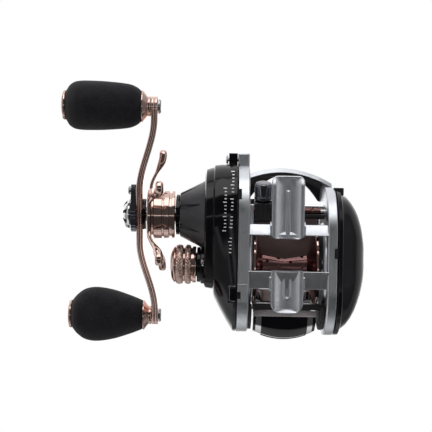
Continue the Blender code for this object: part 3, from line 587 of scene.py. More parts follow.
def make_frame():
    """Side plates, rims, bars and foot. Together they stand for the one-piece casting."""
    silver = ("satin_silver", "reel_body")
    ring_piece = loft("frame_handle_plate", [
        [(x, y, z) for y, z in two_circles(HANDLE_REAR, HANDLE_FRONT, inset)]
        for x, inset in ((15.95, 0.75), (16.15, 0.3), (16.5, 0.0), (20.75, 0.0), (21.0, 0.35))
    ])
    fuse(ring_piece, block("boss", 16.7, 20.85, -24.6, -17.1, 0.15, 12.0))
    cut(ring_piece, block("notch", 19.6, 22.0, 18.7, 23.2, -2.0, 4.0))
    cut(ring_piece, block("low_notch", 19.4, 22.0, -23.2, -20.2, -2.0, 3.2))
    finish(ring_piece, *silver, "frame", soften=0.18)
    for name, x0, x1, y0, y1, z0, z1 in (
        ("frame_tab_front", 19.7, 21.2, 18.8, 23.1, 1.6, 6.0),
        ("frame_tab_rear", 19.5, 21.2, -23.1, -20.3, 1.0, 5.0),
    ):
        finish(block(name, x0, x1, y0, y1, z0, z1), "matte_black", "reel_body", soften=0.1)
    finish(block("frame_lug", 16.0, 20.95, 32.0, 39.2, 17.5, 26.5), *silver,
           soften=0.7, parts=4)

    palm = loft("frame_palm_plate", [
        [(x, y, z) for y, z in two_circles(PALM_REAR, PALM_FRONT, inset)]
        for x, inset in ((-16.9, 0.7), (-17.15, 0.25), (-17.5, 0.0), (-20.9, 0.0), (-21.3, 0.5))
    ])
    cut(palm, rod("bore", -23.0, -15.0, RIM_INNER, SPOOL))
    cut(palm, block("notch", -22.0, -19.9, -5.6, -1.4, -2.0, 2.2))
    finish(palm, *silver, soften=0.18)
    finish(block("frame_tab_palm", -21.5, -20.0, -5.5, -1.5, 0.4, 4.0), "matte_black",
           "reel_body", soften=0.1)

    for name, x0, x1 in (("frame_rim_handle", 16.2, 14.7), ("frame_rim_palm", -17.1, -15.6)):
        away = 1 if x1 > x0 else -1
        profile = [(x0, RIM_INNER), (x0, RIM_OUTER + 0.5), (x1 - away * 0.6, RIM_OUTER + 0.1),
                   (x1, RIM_OUTER - 0.5), (x1, RIM_INNER)]
        finish(lathe(name, profile, SPOOL, corner=0.2), *silver)

    finish(prism("frame_front_bar", rounded([(3.7, 0.7), (8.4, 3.3), (8.4, 5.2), (3.7, 4.6)], 0.35),
                 -17.6, 16.3), *silver, soften=0.1)
    rear = rounded([(-18.8, 2.1), (-11.5, 0.45), (-11.3, 0.7), (-11.3, 3.6), (-18.8, 4.4)], 0.3)
    finish(prism("frame_rear_bar", rear, -17.6, 16.3), *silver, soften=0.1)
    worm_boss = rounded([(7.6, 6.4), (16.9, 6.4), (16.9, 14.0), (7.6, 14.0)], 0.9)
    boss = prism("frame_worm_boss", worm_boss, 14.4, 16.3)
    cut(boss, rod("boss_bore", 14.0, 17.0, 3.4, WORM, steps=48))
    finish(boss, *silver, soften=0.15)
    for name, tip, root, corner, root_corner, is_rear in (
        ("frame_foot_front", FOOT_TIP, FRONT_ROOT, 2.6, 2.0, False),
        ("frame_foot_rear", -FOOT_TIP, REAR_ROOT, 4.6, 0.5, True),
    ):
        tab = foot_tab(name, tip, root, corner, root_corner, is_rear)
        finish(tab, *silver, angle=radians(50))
    for name, y0, y1 in (("frame_gusset_front", 2.9, 9.6), ("frame_gusset_rear", -20.0, -12.4)):
        for side, word in ((1, "handle"), (-1, "palm")):
            outline = [(y0, 2.2), (y0 + 0.9, 0.5), (y1 - 1.6, 0.5), (y1, 2.2), (y1, 3.4), (y0, 3.4)]
            x0, x1 = sorted((side * 6.6, side * 7.5))
            finish(prism(name + "_" + word, rounded(outline, 0.8), x0, x1), *silver, soften=0.3, parts=3)


# ---------------------------------------------------------------- covers

HANDLE_COVER_LEVELS = (
    (21.25, -17.6, 21.3, 13.0, 21.6),
    (21.5, -17.6, 21.5, 13.4, 21.9),
    (22.6, -17.4, 21.3, 13.5, 21.9),
    (25.2, -15.4, 19.2, 13.2, 21.3),
    (28.1, -13.0, 16.5, 13.1, 21.3),
    (30.6, -10.8, 13.8, 13.0, 21.2),
    (31.1, -10.6, 12.9, 13.0, 21.05),
    (31.35, -10.4, 10.7, 12.9, 20.6),
    (31.6, -10.4, 10.2, 12.8, 20.4),
    (34.6, -10.2, 9.9, 12.1, 20.1),
    (35.25, -10.0, 9.3, 11.9, 18.9),
)
CONE_X0, CONE_X1, CONE_R0, CONE_R1 = 35.2, 46.0, 15.2, 9.6
FLUTES = 7
FLUTE_FIRST = radians(18.7)


def cover_sections(levels):
    return [
        [(x, y, z) for y, z in two_circles((y1, SPOOL[1], r1), (y2, SPOOL[1], r2))]
        for x, y1, r1, y2, r2 in levels
    ]


def flute(x, r, angle):
    """Pointed recesses on the cone, widest at its small end."""
    if not CONE_X0 - 0.1 < x < CONE_X1 + 0.1:
        return r
    pitch = tau / FLUTES
    off = abs((angle - FLUTE_FIRST + pitch / 2) % pitch - pitch / 2) * r
    half = 1.45 * smooth(x, 36.4, 46.5)
    if half < 0.05:
        return r
    return r - 1.3 * max(0.0, 1 - (off / half) ** 2) * smooth(x, 36.0, 39.5)


def make_handle_cover():
    cover = loft("handle_cover_shell", cover_sections(HANDLE_COVER_LEVELS))
    fuse(cover, prism("lug", rounded([(32.0, 17.5), (39.2, 17.5), (39.2, 26.5), (32.0, 26.5)], 0.8),
                      21.3, 25.1))
    finish(cover, "gloss_black", "reel_body", "handle_side_cover", soften=0.15)
    levels = 26
    profile = [(34.6, 0), (34.6, CONE_R0 + 0.6), (35.1, CONE_R0 + 0.5)]
    for i in range(levels + 1):
        t = i / levels
        profile.append((CONE_X0 + (CONE_X1 - CONE_X0) * t,
                        CONE_R0 + (CONE_R1 - CONE_R0) * t ** 0.94))
    profile += [(CONE_X1 + 0.15, CONE_R1 - 0.5), (CONE_X1 + 0.15, 4.0), (CONE_X1 - 2, 4.0),
                (CONE_X1 - 2, 0)]
    cone = lathe("handle_cover_cone", profile, DRIVE, steps=252, wobble=flute)
    finish(cone, "cone_black", "reel_body", angle=radians(24))
    boss = [(34.4, 0), (34.4, 8.6), (36.6, 8.4), (36.9, 7.8), (38.4, 7.7), (38.4, 5.2),
            (42.8, 5.2), (42.8, 0)]
    finish(lathe("handle_cover_boss", boss, SPOOL, corner=0.25), "gloss_black", "reel_body")
    collar = [(46.3, 4.4), (46.3, 8.6), (46.5, 8.9), (47.7, 8.9), (47.9, 8.6), (47.9, 4.4)]
    finish(lathe("bearing_cap_ring", collar, DRIVE, corner=0.15), "gloss_black", "reel_body",
           "bearing_cap")

    # Outlined box behind the frame's rear boss.
    box = [(-17.2, -0.05), (-25.0, 0.9), (-25.0, 6.0), (-17.2, 5.0)]
    lug = prism("handle_cover_rear_lug", rounded(box, 0.5), 21.3, 24.9)
    finish(lug, "gloss_black", "reel_body", soften=0.35, parts=3)
    frame_line = [(21.7, 24.4, -17.95, -17.65), (24.1, 24.4, -24.3, -17.65),
                  (21.7, 24.4, -24.3, -24.0)]
    decal("handle_cover_lug_outline", frame_line, lug, 0.03, "satin_silver", "reel_body")

    # A neutral graduated scale in place of printed words.
    marks = []
    for x_base, count, first, lean in ((25.9, 13, 23.6, 0.010), (22.7, 24, 31.0, 0.030)):
        for k in range(count):
            y = first - 1.5 * k
            if count > 20 and k in (7, 12, 17, 18):
                continue
            x = x_base + lean * (first - y)
            long = 1.5 if k % 4 == 0 else 0.95
            marks.append((x, x + long, y - 0.42, y))
    decal("handle_cover_scale", marks, cover, 0.03, "print_white", "reel_body")


PALM_COVER_LEVELS = (
    (-21.6, -18.5, 21.3, 4.0, 20.8),
    (-21.8, -18.5, 21.5, 4.0, 21.0),
    (-23.3, -18.4, 21.4, 3.8, 20.8),
    (-23.6, -18.3, 21.0, 3.7, 20.4),
    (-23.9, -18.0, 20.2, 3.5, 19.5),
    (-24.6, -17.7, 19.7, 3.3, 18.9),
    (-26.4, -16.9, 19.1, 2.9, 18.2),
    (-28.4, -15.9, 17.7, 2.3, 16.7),
    (-30.2, -14.8, 15.7, 1.5, 14.9),
    (-31.6, -13.6, 13.5, 0.7, 12.9),
    (-32.8, -12.6, 11.0, -0.4, 10.6),
    (-33.6, -12.0, 8.6, -1.6, 8.3),
    (-34.1, -11.5, 6.9, -2.6, 6.6),
    (-34.3, -11.2, 5.9, -3.0, 5.7),
)


def make_palm_cover():
    cover = loft("palm_cover_shell", cover_sections(PALM_COVER_LEVELS))
    cut(cover, rod("recess", -36.0, -32.7, 5.6, SPOOL, steps=64))
    finish(cover, "violet_black", "reel_body", "palm_side_cover", angle=radians(20))
    tab = block("palm_cover_tab", -25.0, -20.6, 21.4, 24.7, 15.0, 22.0)
    finish(tab, "satin_black", "reel_body", soften=0.3)
    dial = [(-32.9, 1.6), (-32.9, 5.3), (-33.9, 5.3), (-34.4, 5.0), (-34.6, 4.4), (-34.35, 3.2),
            (-34.35, 0), (-33.4, 0), (-33.4, 1.6)]
    knob = lathe("brake_dial_face", dial[:-2] + [(-32.9, 0)], SPOOL, steps=120, corner=0.1,
                 wobble=lambda x, r, a: r - 0.16 * (r > 5.1) * (cos(a * 30) > 0.2))
    finish(knob, "black_chrome", "brake_control", "brake_dial")


def make_hood():
    """Thin bright arch over the line guide and the dark liner behind it."""

    def section(x, outer, inner, lip):
        """Closed loop of the arch at x. The lip tilts its lower edge towards the front."""
        front_y = 33.5 - 0.0134 * (x - 1) ** 2
        rear_y = 30.4 - 0.045 * min(abs(x), 16.0) ** 2
        outwards = min(abs(x) / 16.0, 1.0) ** 2
        front_z = 27.5 + 2.0 * (1 - outwards)
        rear_z = 35.0 + 4.5 * outwards
        steps = 14
        loop = []
        for depth, order in ((outer, range(steps + 1)), (inner, range(steps, -1, -1))):
            for i in order:
                t = i / steps
                y = (1 - t * t) * (front_y - depth) + t * t * rear_y
                z = front_z + (rear_z - depth - front_z) * sin(t * pi / 2)
                z += lip * (1 - t) ** 3 * (depth == outer)
                loop.append((x, y, z))
        return loop

    arch = loft("hood_arch", [section(x, 0.0, 1.9, 1.7) for x in stations(-21.2, 15.7)])
    finish(arch, "satin_silver", "reel_body", "front_hood", soften=0.25, parts=3)
    liner = loft("hood_underside", [section(x, 1.95, 3.5, 0.0) for x in stations(-16.6, 15.7)])
    finish(liner, "matte_black", "reel_body", "hood_liner", soften=0.15)


# ---------------------------------------------------------------- spool and level wind


def make_spool():
    half, edge = 14.15, 16.8
    side = [(half, 2.4), (half, edge - 0.35), (half - 0.35, edge), (half - 1.05, edge),
            (half - 1.4, edge - 0.35), (12.3, 14.8), (10.15, 5.8), (9.7, 5.2)]
    profile = [(-x, r) for x, r in side] + [(0, SPOOL_WAIST)] + side[::-1]
    profile += [(half + 1.0, 2.4), (half + 1.0, 1.45), (-half - 1.0, 1.45), (-half - 1.0, 2.4)]
    spool = lathe("spool_body_shape", profile, SPOOL, steps=144)
    for row in range(6):
        for k, x in enumerate((-7.6, -2.6, 2.6, 7.6)):
            angle = tau * (row + 0.5 * (k % 2)) / 6
            radius = SPOOL_WAIST + 0.18 * abs(x)
            hole = rod("port", 2.0, radius + 2.0, 0.75, (SEAT_Y, 0), steps=20)
            hole.data.transform(
                Matrix.Translation(at(x, *SPOOL)) @ Matrix.Rotation(angle, 4, "X")
                @ Matrix.Rotation(pi / 2, 4, "Y")
            )
            cut(spool, hole)
    finish(spool, "copper_brown", "spool_body", "spool", soften=0.08)
    for side, name in ((-1, "spool_lip_palm_side"), (1, "spool_lip_handle_side")):
        x = side * (half - 0.7)
        lip = ring(name, x - 0.42, x + 0.42, edge - 0.4, edge + 0.08, SPOOL, 144, 0.15)
        finish(lip, "rose_gold", "spool_body")


def make_level_wind():
    turns, half, radius, depth = 3.0, 12.4, 1.9, 0.45
    around = 40
    sections = []
    for x in stations(-14.5, 14.5, 180):
        loop = []
        for i in range(around):
            angle = tau * i / around
            near = 1e9
            for way in (1, -1):
                phase = (x + half) / (2 * half) * turns - way * angle / tau
                near = min(near, abs(phase - round(phase)) * 2 * half / turns)
            ends = smooth(half + 0.5 - abs(x), 0.0, 0.6)
            r = radius - depth * ends * (1 - smooth(near, 0.5, 0.75))
            loop.append((x, WORM[0] + r * cos(angle), WORM[1] + r * sin(angle)))
        sections.append(loop)
    finish(loft("worm_thread", sections), "worm_brown", "worm", "worm_shaft")
    for name, x0, x1 in (("worm_end_palm", -19.3, -14.5), ("worm_end_handle", 14.5, 22.8)):
        finish(rod(name, x0, x1, 1.2, WORM, 40), "steel", "worm")
    finish(rod("guide_rod_bar", -18.8, 16.9, 0.8, GUIDE_ROD, 40), "chrome", "reel_body",
           "guide_rod")

    inner, outer, half_open = 2.4, 3.2, radians(86)
    mouth = radians(-26)
    loop = []
    for r, order in ((outer, range(41)), (inner, range(40, -1, -1))):
        for i in order:
            angle = mouth + half_open + (tau - 2 * half_open) * i / 40
            loop.append((WORM[0] + r * cos(angle), WORM[1] + r * sin(angle)))
    finish(prism("worm_guard_shell", loop, -16.5, 15.7), "satin_black", "reel_body", "worm_guard",
           soften=0.12)

    x0, x1 = GUIDE_X - 3.65, GUIDE_X + 3.65
    outline = [
        (9.2, 7.6), (10.6, 6.2), (17.0, 6.2), (18.4, 7.6), (19.0, 15.0), (19.0, 20.4),
        (15.0, 20.4), (14.4, 16.0), (10.4, 15.8), (9.2, 14.6),
    ]
    body = prism("guide_carriage", rounded(outline, 0.6), x0, x1)
    eye = lathe("eye", [(15.4, 3.2), (15.4, 5.0), (19.4, 5.0), (19.4, 3.2)], (SEAT_Y, 0), 64, 0.4)
    eye.data.transform(Matrix.Translation(at(GUIDE_X, 0, 24.6)) @ Matrix.Rotation(pi / 2, 4, "Z"))
    fuse(body, eye)
    cut(body, rod("guard_bore", x0 - 1, x1 + 1, 3.45, WORM, 64))
    cut(body, rod("rod_bore", x0 - 1, x1 + 1, 1.05, GUIDE_ROD, 32))
    for x in (x0 + 1.6, x0 + 3.65, x1 - 1.6):
        cut(body, block("groove", x - 0.22, x + 0.22, 8.0, 19.5, 5.5, 6.6))
    finish(body, "satin_black", "carriage", "line_guide", soften=0.25)

    cap = [(5.4, 1.7), (5.4, 3.5), (5.7, 3.85), (7.0, 3.85), (7.1, 3.6), (7.5, 3.6), (7.6, 3.85),
           (11.6, 3.85), (12.5, 3.4), (12.95, 2.5), (13.05, 0), (9.0, 0), (9.0, 1.7)]
    shape = lathe("pawl_cap_dome", cap, (SEAT_Y, 0), 84, 0.25)
    turn = Matrix.Rotation(-CAP_TILT, 4, "X") @ Matrix.Rotation(pi / 2, 4, "Z")
    shape.data.transform(Matrix.Translation(at(GUIDE_X, *WORM)) @ turn)
    finish(shape, "black_chrome", "carriage", "pawl_cap")


# ---------------------------------------------------------------- handle, star and knobs


def handle_point(x, along, across):
    """A point of the handle: along runs to the forward knob, across lies in the arm's width."""
    y = DRIVE[0] + along * cos(HANDLE_TIP) + across * sin(HANDLE_TIP)
    z = DRIVE[1] - along * sin(HANDLE_TIP) + across * cos(HANDLE_TIP)
    return (x, y, z)


def arm_middle(along):
    return ARM_X - ARM_SWEEP * smooth(abs(along), 12.0, 44.0)


def arm_edge():
    """(offset along X, drop) points across the arm's edge: two rounded layers with a groove."""
    points = []
    for middle in (-0.74, 0.74):
        for k in range(9):
            angle = pi - pi * k / 8
            points.append((middle + 0.71 * cos(angle), 0.62 * (1 - sin(angle))))
    return points


def make_handle_arm():
    """Swept arm of two layers, with a dark groove between them along its edge."""
    reach = KNOB_RADIUS + ARM_TIP_R
    edge = arm_edge()
    sections = []
    count = 240
    for i in range(count + 1):
        along = -reach * cos(pi * i / count) * 0.9995
        width = 5.6 - 1.2 * smooth(abs(along), 8.0, 34.0)
        past = abs(along) - KNOB_RADIUS
        if past > 0:
            width = sqrt(max(ARM_TIP_R ** 2 - past ** 2, 0.02))
        middle = arm_middle(along)
        drop = min(1.0, width / 2)
        loop = [handle_point(middle + dx, along, width - low * drop) for dx, low in edge]
        loop += [handle_point(middle + dx, along, low * drop - width) for dx, low in edge[::-1]]
        sections.append(loop)
    arm = loft("handle_arm_blade", sections)
    # The arm's material is rose gold made lighter, painted light rather than a different metal.
    finish(arm, "rose_gold_arm_lit", "drive", "handle_arm", angle=radians(75))
    washer = [(61.0, 3.2), (61.0, 6.6), (62.35, 6.9), (62.35, 3.2)]
    finish(lathe("arm_seat_washer", washer, DRIVE, corner=0.2), "gloss_black", "drive")


WIDE = ((0, 6.4), (0.06, 7.3), (0.2, 9.0), (0.42, 11.2), (0.66, 12.3), (0.82, 11.4),
        (0.93, 8.9), (1.0, 6.2))
SLIM = ((0, 6.4), (0.06, 8.0), (0.16, 9.3), (0.42, 10.2), (0.66, 10.5), (0.86, 10.2),
        (0.95, 8.7), (1.0, 6.2))


def eased(table, t):
    """The table's value at t, along a smooth curve through its points."""
    for k in range(len(table) - 1):
        (t0, v0), (t1, v1) = table[k], table[k + 1]
        if t <= t1 or k == len(table) - 2:
            before = table[max(k - 1, 0)]
            after = table[min(k + 2, len(table) - 1)]
            m0 = (v1 - before[1]) / (t1 - before[0])
            m1 = (after[1] - v0) / (after[0] - t0)
            span, s = t1 - t0, (t - t0) / (t1 - t0)
            return ((2 * s ** 3 - 3 * s ** 2 + 1) * v0 + (s ** 3 - 2 * s ** 2 + s) * span * m0
                    + (-2 * s ** 3 + 3 * s ** 2) * v1 + (s ** 3 - s ** 2) * span * m1)
    return table[-1][1]


def make_knob(end, side, turn):
    """Foam grip, inner collar and outer cap of one knob."""
    _, y, z = handle_point(0, side * KNOB_RADIUS, 0)
    axis = (y, z)
    body = end + "_knob"
    sections = []
    for i in range(49):
        t = (1 - cos(pi * i / 48)) / 2
        a, b = eased(WIDE, t), eased(SLIM, t)
        x = KNOB_INNER_X + KNOB_LENGTH * t
        loop = []
        for k in range(72):
            angle = tau * k / 72
            u, v = a * cos(angle), b * sin(angle)
            loop.append((x, y + u * cos(turn) - v * sin(turn), z + u * sin(turn) + v * cos(turn)))
        sections.append(loop)
    grip = finish(loft(end + "_grip_foam", sections), "foam_black", body, end + "_knob_grip",
                  soften=0.5, parts=3)
    collar = [(58.9, 2.2), (58.9, 4.0), (59.3, 4.3), (59.9, 4.3), (60.1, 4.1), (60.4, 4.3),
              (62.3, 6.95), (62.7, 6.95), (62.85, 6.6), (62.85, 2.2)]
    finish(lathe(end + "_collar_cone", collar, axis, corner=0.12), "rose_gold", body,
           end + "_knob_collar")
    x = KNOB_INNER_X + KNOB_LENGTH
    cap = [(x + 0.1, 0), (x + 0.1, 6.35), (x + 0.7, 6.5), (x + 1.2, 6.2), (x + 1.7, 5.0),
           (x + 1.75, 4.4), (x + 1.45, 4.2), (x + 1.45, 3.6), (x + 1.9, 3.4), (x + 2.0, 0)]
    finish(lathe(end + "_cap_disc", cap, axis, corner=0.15), "rose_gold", body,
           end + "_knob_cap")


def make_star():
    """Hub of three polished bands and five arms that curve towards the reel."""
    hub = [
        (48.2, 3.4), (48.2, 10.25), (48.5, 10.6), (49.5, 10.6), (49.7, 10.4), (49.8, 9.8),
        (50.6, 9.8), (50.7, 10.4), (50.95, 10.65), (53.0, 10.65), (53.2, 10.4), (53.25, 9.9),
        (53.75, 9.9), (53.8, 10.4), (54.0, 10.7), (57.4, 10.7), (57.7, 10.3), (57.8, 9.2),
        (58.3, 9.2), (58.4, 11.0), (58.8, 11.5), (59.9, 11.5), (60.3, 11.1), (60.4, 3.4),
    ]
    star = lathe("star_hub", hub, DRIVE, steps=144)
    finish(star, "rose_gold", "star", "star_drag", angle=radians(26))
    for arm in range(STAR_ARMS):
        angle = STAR_FIRST + arm * tau / STAR_ARMS
        sections = []
        count, squareness = 48, 0.62
        tip = STAR_PADDLE_R + 2.5
        for i in range(count + 1):
            s = i / count
            radius = 10.0 + (tip - 10.0) * sin(s * pi / 2)
            middle = 59.3 - 5.0 * smooth(radius, 11.5, 26.0)
            width = 1.75 - 0.25 * smooth(radius, 11.0, 15.0) + 1.35 * smooth(radius, 17.0, 23.5)
            thick = 0.8 + 1.05 * smooth(radius, 17.5, 23.5)
            past = radius - (STAR_PADDLE_R - 0.2)
            if past > 0:
                shrink = sqrt(max(1 - (past / 2.72) ** 2, 0.001))
                width *= shrink
                thick *= shrink ** 0.6
            loop = []
            for k in range(24):
                a = tau * k / 24
                x = middle + thick * copysign(abs(sin(a)) ** squareness, sin(a))
                across = width * copysign(abs(cos(a)) ** squareness, cos(a))
                y = DRIVE[0] + radius * cos(angle) - across * sin(angle)
                z = DRIVE[1] - radius * sin(angle) - across * cos(angle)
                loop.append((x, y, z))
            sections.append(loop)
        finish(loft("star_arm_%d" % (arm + 1), sections), "rose_gold", "star", angle=radians(45))


def make_nut():
    """Bright domed nut with a ring of dark cut-outs, and the toothed disc behind it."""
    dome = [
        (71.6, 0), (71.6, 1.2), (71.5, 2.4), (71.2, 3.7), (70.7, 4.8), (70.0, 5.75), (69.2, 6.35),
        (68.7, 6.6), (68.3, 6.6), (68.1, 6.4), (68.1, 4.6), (65.3, 4.6), (65.3, 2.75),
        (70.3, 2.75), (70.3, 0),
    ]
    nut = lathe("nut_dome", dome, DRIVE, steps=120)
    for k in range(8):
        angle = tau * (k + 0.25) / 8
        wedge = [(71.8, -0.25), (71.8, 0.25), (69.35, 1.05), (69.35, -1.05)]
        tool = loft("wedge", [[(x, SEAT_Y + w, r) for x, w in wedge] for r in (3.3, 7.5)])
        tool.data.transform(Matrix.Translation(at(0, *DRIVE)) @ Matrix.Rotation(angle, 4, "X"))
        cut(nut, tool)
    finish(nut, "chrome", "drive", "handle_nut", soften=0.06)
    core = [(66.0, 2.8), (66.0, 4.5), (69.4, 4.9), (70.4, 3.9), (70.9, 2.8)]
    finish(lathe("nut_core", core, DRIVE), "matte_black", "drive")

    outline = [(y, z) for y, z in two_circles((0.0, 0.0, 7.9), (10.8, 0.0, 2.6), steps=40)]
    teeth = []
    for i, (y, z) in enumerate(outline):
        size = hypot(y, z)
        keep = 1 - (0.35 / size if i % 4 in (0, 1) else 0.0)
        _, py, pz = handle_point(0, y * keep, z * keep)
        teeth.append((py, pz))
    plate = prism("lock_plate_disc", teeth, 65.4, 67.7)
    cut(plate, rod("nut_hole", 65.0, 68.0, 4.9, DRIVE))
    finish(plate, "black_chrome", "drive", "nut_lock_plate", soften=0.12)


def knurl(x, r, angle):
    """Diamond knurls on the two bulged bands of the cast control."""
    for start, end in ((44.3, 47.7), (40.9, 43.7)):
        if start < x < end and r > 7.4:
            fade = smooth(x, start, start + 0.5) * (1 - smooth(x, end - 0.5, end))
            u = round(tau * 8.6 / 1.5) * angle / tau
            v = (x - start) / 1.5
            height = min(abs(sin(pi * (u + v))), abs(sin(pi * (u - v))))
            return r - 0.2 * fade * (1 - smooth(height, 0.1, 0.6))
    return r


def make_tension_knob():
    profile = [(50.1, 0), (50.1, 3.2), (50.0, 4.6), (49.75, 5.9), (49.3, 7.0), (48.6, 7.8),
               (48.1, 8.1), (47.95, 8.05), (47.85, 7.7)]
    for start, end in ((47.7, 44.3), (43.7, 40.9)):
        for i in range(31):
            t = i / 30
            profile.append((start + (end - start) * t, 7.95 + 0.8 * sin(pi * t) ** 0.55))
        profile.append((end - 0.1, 7.6))
        profile.append((end - 0.45, 7.6))
    profile += [(40.3, 8.1), (39.0, 8.1), (38.75, 7.9), (38.7, 5.6), (44.4, 5.6), (44.4, 0)]
    knob = lathe("tension_knob_body", profile, SPOOL, steps=600, wobble=knurl)
    finish(knob, "rose_gold", "cast_control", "tension_knob", angle=radians(50))


# ---------------------------------------------------------------- thumb bar


def make_thumb_bar():
    outline = [
        (-29.0, 12.0), (-31.0, 11.8), (-35.0, 14.4), (-38.0, 19.0), (-39.2, 25.0), (-38.4, 30.5),
        (-35.4, 34.0), (-31.0, 35.6), (-27.0, 36.2), (-21.3, 36.9), (-21.4, 35.9), (-26.6, 33.6),
        (-28.4, 27.0), (-29.0, 22.0),
    ]
    outline = rounded(rounded(outline, 3.0, parts=4), 0.4, parts=2)
    half, saddle, bulge = 13.6, 3.8, 3.3
    middle_y, middle_z = -28.0, 25.0

    def raised(x):
        """The top is a saddle, high enough at its sides to pass over the spool's flanges."""
        return saddle * smooth(abs(x), 8.5, 12.0)

    def back(x):
        """How far the rear bulges out."""
        return bulge * (1 - (x / half) ** 2)

    def bent(x, y, z):
        return (x, y - back(x) * smooth(-y, 31.0, 38.0), z + raised(x) * smooth(z, 32.0, 36.0))

    places = stations(-half, half, 36)
    sections = [[bent(x, y, z) for y, z in outline] for x in places]
    finish(loft("thumb_bar_body", sections), "gloss_black", "thumb", "thumb_bar", soften=0.3)
    apron = [(-21.7, 35.75), (-26.6, 33.45), (-26.7, 33.15), (-21.7, 35.45)]
    face = [[(x, y, z + raised(x)) for y, z in apron] for x in places[1:-1]]
    finish(loft("thumb_bar_apron_face", face), "pink_grey", "thumb")
    for name, x, width in (("thumb_bar_trim_handle", 11.2, 2.4), ("thumb_bar_trim_palm", -11.1, 2.2)):
        sides = []
        for place in (x - width / 2, x + width / 2):
            strip = []
            for grow, order in ((0.25, outline[1:30]), (-0.6, outline[1:30][::-1])):
                for y, z in order:
                    _, moved, z = bent(place, y, z)
                    lean = hypot(y - middle_y, z - middle_z)
                    strip.append((place, moved + grow * (y - middle_y) / lean,
                                  z + grow * (z - middle_z) / lean))
            sides.append(strip)
        finish(loft(name, sides), "chrome", "thumb", soften=0.15)
    edge = []
    for x in stations(-11.5, 11.5, 30):
        y = -39.25 - back(x)
        edge.append([(x, y + 0.9, 24.6), (x, y - 0.15, 24.9), (x, y - 0.15, 26.3),
                     (x, y + 0.9, 26.6)])
    finish(loft("thumb_bar_rear_trim", edge), "chrome", "thumb", soften=0.1)
    lip = rounded([(-28.7, 10.0), (-31.1, 10.0), (-31.4, 11.6), (-28.7, 11.6)], 0.4)
    finish(prism("thumb_bar_lip_strip", lip, -13.4, 13.4), "lip_grey", "thumb", "thumb_bar_lip",
           soften=0.2)


def make_thumb_rest():
    lower = [(-8.4, 42.2), (-4.6, 40.9), (-1.3, 40.5), (2.0, 40.0), (5.1, 39.2), (8.0, 38.0),
             (10.4, 36.6), (12.6, 35.0)]
    upper = [(13.6, 36.4), (11.4, 38.5), (8.8, 40.2), (5.7, 41.5), (2.2, 42.3), (-0.8, 42.7),
             (-8.2, 43.1)]
    sections = []
    for x in stations(-16.6, 15.7, 30):
        dip = 0.7 * (1 - (x / 16.6) ** 2)
        loop = lower[:-1] + rounded([lower[-2], lower[-1], upper[0], upper[1]], 0.6, False)[1:-1]
        loop += upper[1:]
        sections.append([(x, y, z - dip * smooth(y, -4.0, 1.0)) for y, z in loop])
    # Its grey-brown tint is painted shade and a painted reflection of the spool beneath it.
    finish(loft("thumb_rest_bridge", sections), "rest_painted_reflection", "reel_body", "thumb_rest")


# ---------------------------------------------------------------- inner parts, camera and light

INNER_LOOKS = {
    "cover_screw_1": "steel", "cover_screw_2": "steel", "lug_screw": "steel",
    "lock_plate_screw": "steel", "rear_cross_bar": "satin_black",
    "thumb_bar_guide_handle_side": "matte_black", "thumb_bar_guide_palm_side": "matte_black",
}


def dress_cad_nodes():
    """CAD nodes whose shape is already right keep it and take the procedural finishes."""
    for part in frame["record"]["subparts"]:
        name = part["node"]
        node = frame["nodes"][name]
        look = INNER_LOOKS.get(name, part["material_slot"])
        node.data.materials.clear()
        node.data.materials.append(LOOKS[look])


def soften_nodes(names, width):
    for name in names:
        soft_edges(frame["nodes"][name], width, 2, SHARP)


def make_world():
    """White backdrop, and a light tent with a dark side round the photographer's place."""
    world = bpy.data.worlds.new("studio")
    bpy.context.scene.world = world
    world.use_nodes = True
    sky = Nodes(world.node_tree)
    sky.tree.nodes.clear()

    def step(value, low, high):
        node = sky.add("ShaderNodeMapRange", interpolation_type="SMOOTHSTEP")
        sky.join(value, node.inputs["Value"])
        set_inputs(node, From_Min=low, From_Max=high)
        return node.outputs["Result"]

    split = sky.add("ShaderNodeSeparateXYZ")
    sky.join(sky.add("ShaderNodeTexCoord").outputs["Generated"], split.inputs["Vector"])
    x, y, z = (split.outputs[name] for name in "XYZ")
    down = sky.math("MULTIPLY", z, -1)
    rise = sky.math("ARCTAN2", y, down)
    side = sky.math("ARCTAN2", x, down)

    def window(value, low, high, soft):
        """1 between two directions in degrees, with soft edges."""
        edge = radians(soft)
        enter = step(value, radians(low) - edge, radians(low) + edge)
        leave = sky.math("SUBTRACT", 1, step(value, radians(high) - edge, radians(high) + edge))
        return sky.math("MULTIPLY", enter, leave)

    def dimmed(level, mask, amount):
        kept = sky.math("SUBTRACT", 1, sky.math("MULTIPLY", mask, amount))
        return sky.math("MULTIPLY", level, kept)

    dark = sky.math("MULTIPLY", window(rise, -80, 42, 5), window(side, -44, 46, 5))
    tent = sky.math("SUBTRACT", 1.05, sky.math("MULTIPLY", step(y, 0.05, -0.25), 0.3))
    behind = sky.math("MULTIPLY", step(z, 0.3, 0.7), step(y, -0.1, -0.5))
    tent = sky.math("SUBTRACT", tent, sky.math("MULTIPLY", behind, 0.5))
    palm_side = sky.math("MULTIPLY", step(x, -0.25, -0.7), step(z, -0.3, 0.2))
    both_sides = sky.math("ADD", window(side, 54, 104, 5), window(side, -104, -54, 5))
    strip = sky.math("MULTIPLY", window(rise, -8.2, -5.2, 0.7), window(side, -60, 60, 3))
    level = dimmed(dimmed(dimmed(tent, palm_side, 0.55), both_sides, 0.62), dark, 0.93)
    level = sky.math("ADD", level, sky.math("MULTIPLY", strip, 1.1))

    mix = sky.add("ShaderNodeMix")
    sky.join(sky.add("ShaderNodeLightPath").outputs["Is Camera Ray"], mix.inputs["Factor"])
    sky.join(level, mix.inputs["A"])
    background = sky.add("ShaderNodeBackground")
    set_inputs(mix, B=1.0)
    set_inputs(background, Color=(1, 1, 1, 1))
    sky.join(mix.outputs["Result"], background.inputs["Strength"])
    output = sky.add("ShaderNodeOutputWorld")
    sky.join(background.outputs["Background"], output.inputs["Surface"])


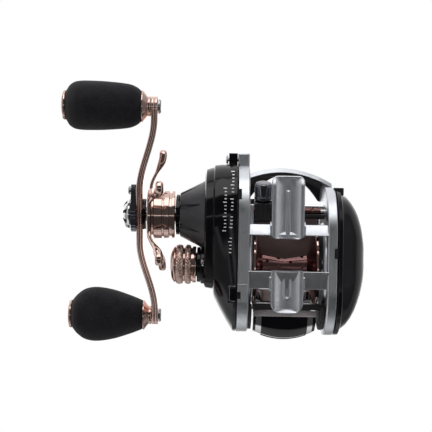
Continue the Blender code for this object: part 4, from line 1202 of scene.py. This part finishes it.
def make_camera():
    roll = radians(1.0)
    camera = bpy.data.objects.new("camera", bpy.data.cameras.new("camera"))
    camera.data.lens = 85.3
    camera.data.sensor_width = 36.0
    camera.data.clip_start = 0.01
    right = Vector((-cos(roll), sin(roll), 0))
    up = Vector((sin(roll), cos(roll), 0))
    back = Vector((0, 0, -1))
    turn = Matrix((right, up, back)).transposed().to_4x4()
    camera.matrix_world = Matrix.Translation((0.0304, -0.00447, -0.430)) @ turn
    link(camera)
    bpy.context.scene.camera = camera


def make_floor():
    mesh = bpy.data.meshes.new("floor")
    bm = bmesh.new()
    bmesh.ops.create_grid(bm, x_segments=8, y_segments=8, size=6.0)
    bm.to_mesh(mesh)
    bm.free()
    floor = bpy.data.objects.new("floor", mesh)
    floor.location.z = -0.75
    floor.visible_glossy = False
    floor.visible_diffuse = False
    mesh.materials.append(plastic("floor_paper", (0.78, 0.78, 0.78), 0.7, (0.3, 0.004), 0))
    link(floor)


def make_lights():
    for name, place, size, power in (
        ("key", (0.15, 0.75, -0.35), 0.7, 1.6),
        ("fill", (0.45, -0.65, -0.20), 0.6, 0.5),
        ("top", (0.1, -0.1, 0.9), 0.8, 1.2),
    ):
        lamp = bpy.data.lights.new(name, "AREA")
        lamp.shape = "SQUARE"
        lamp.size = size
        lamp.energy = power
        light = bpy.data.objects.new(name, lamp)
        light.location = place
        light.rotation_euler = (-Vector(place)).to_track_quat("-Z", "Y").to_euler()
        link(light)


def main():
    make_camera()
    make_world()
    make_lights()
    make_floor()
    dress_cad_nodes()
    make_frame()
    make_handle_cover()
    make_palm_cover()
    make_hood()
    make_spool()
    make_level_wind()
    make_handle_arm()
    make_knob("front", 1, pi / 2)
    make_knob("rear", -1, 0.0)
    make_star()
    make_nut()
    make_tension_knob()
    make_thumb_bar()
    make_thumb_rest()
    soften_nodes(("rear_cross_bar", "thumb_bar_guide_handle_side", "thumb_bar_guide_palm_side"),
                 0.25)
    bpy.context.scene.view_settings.view_transform = "Standard"


main()
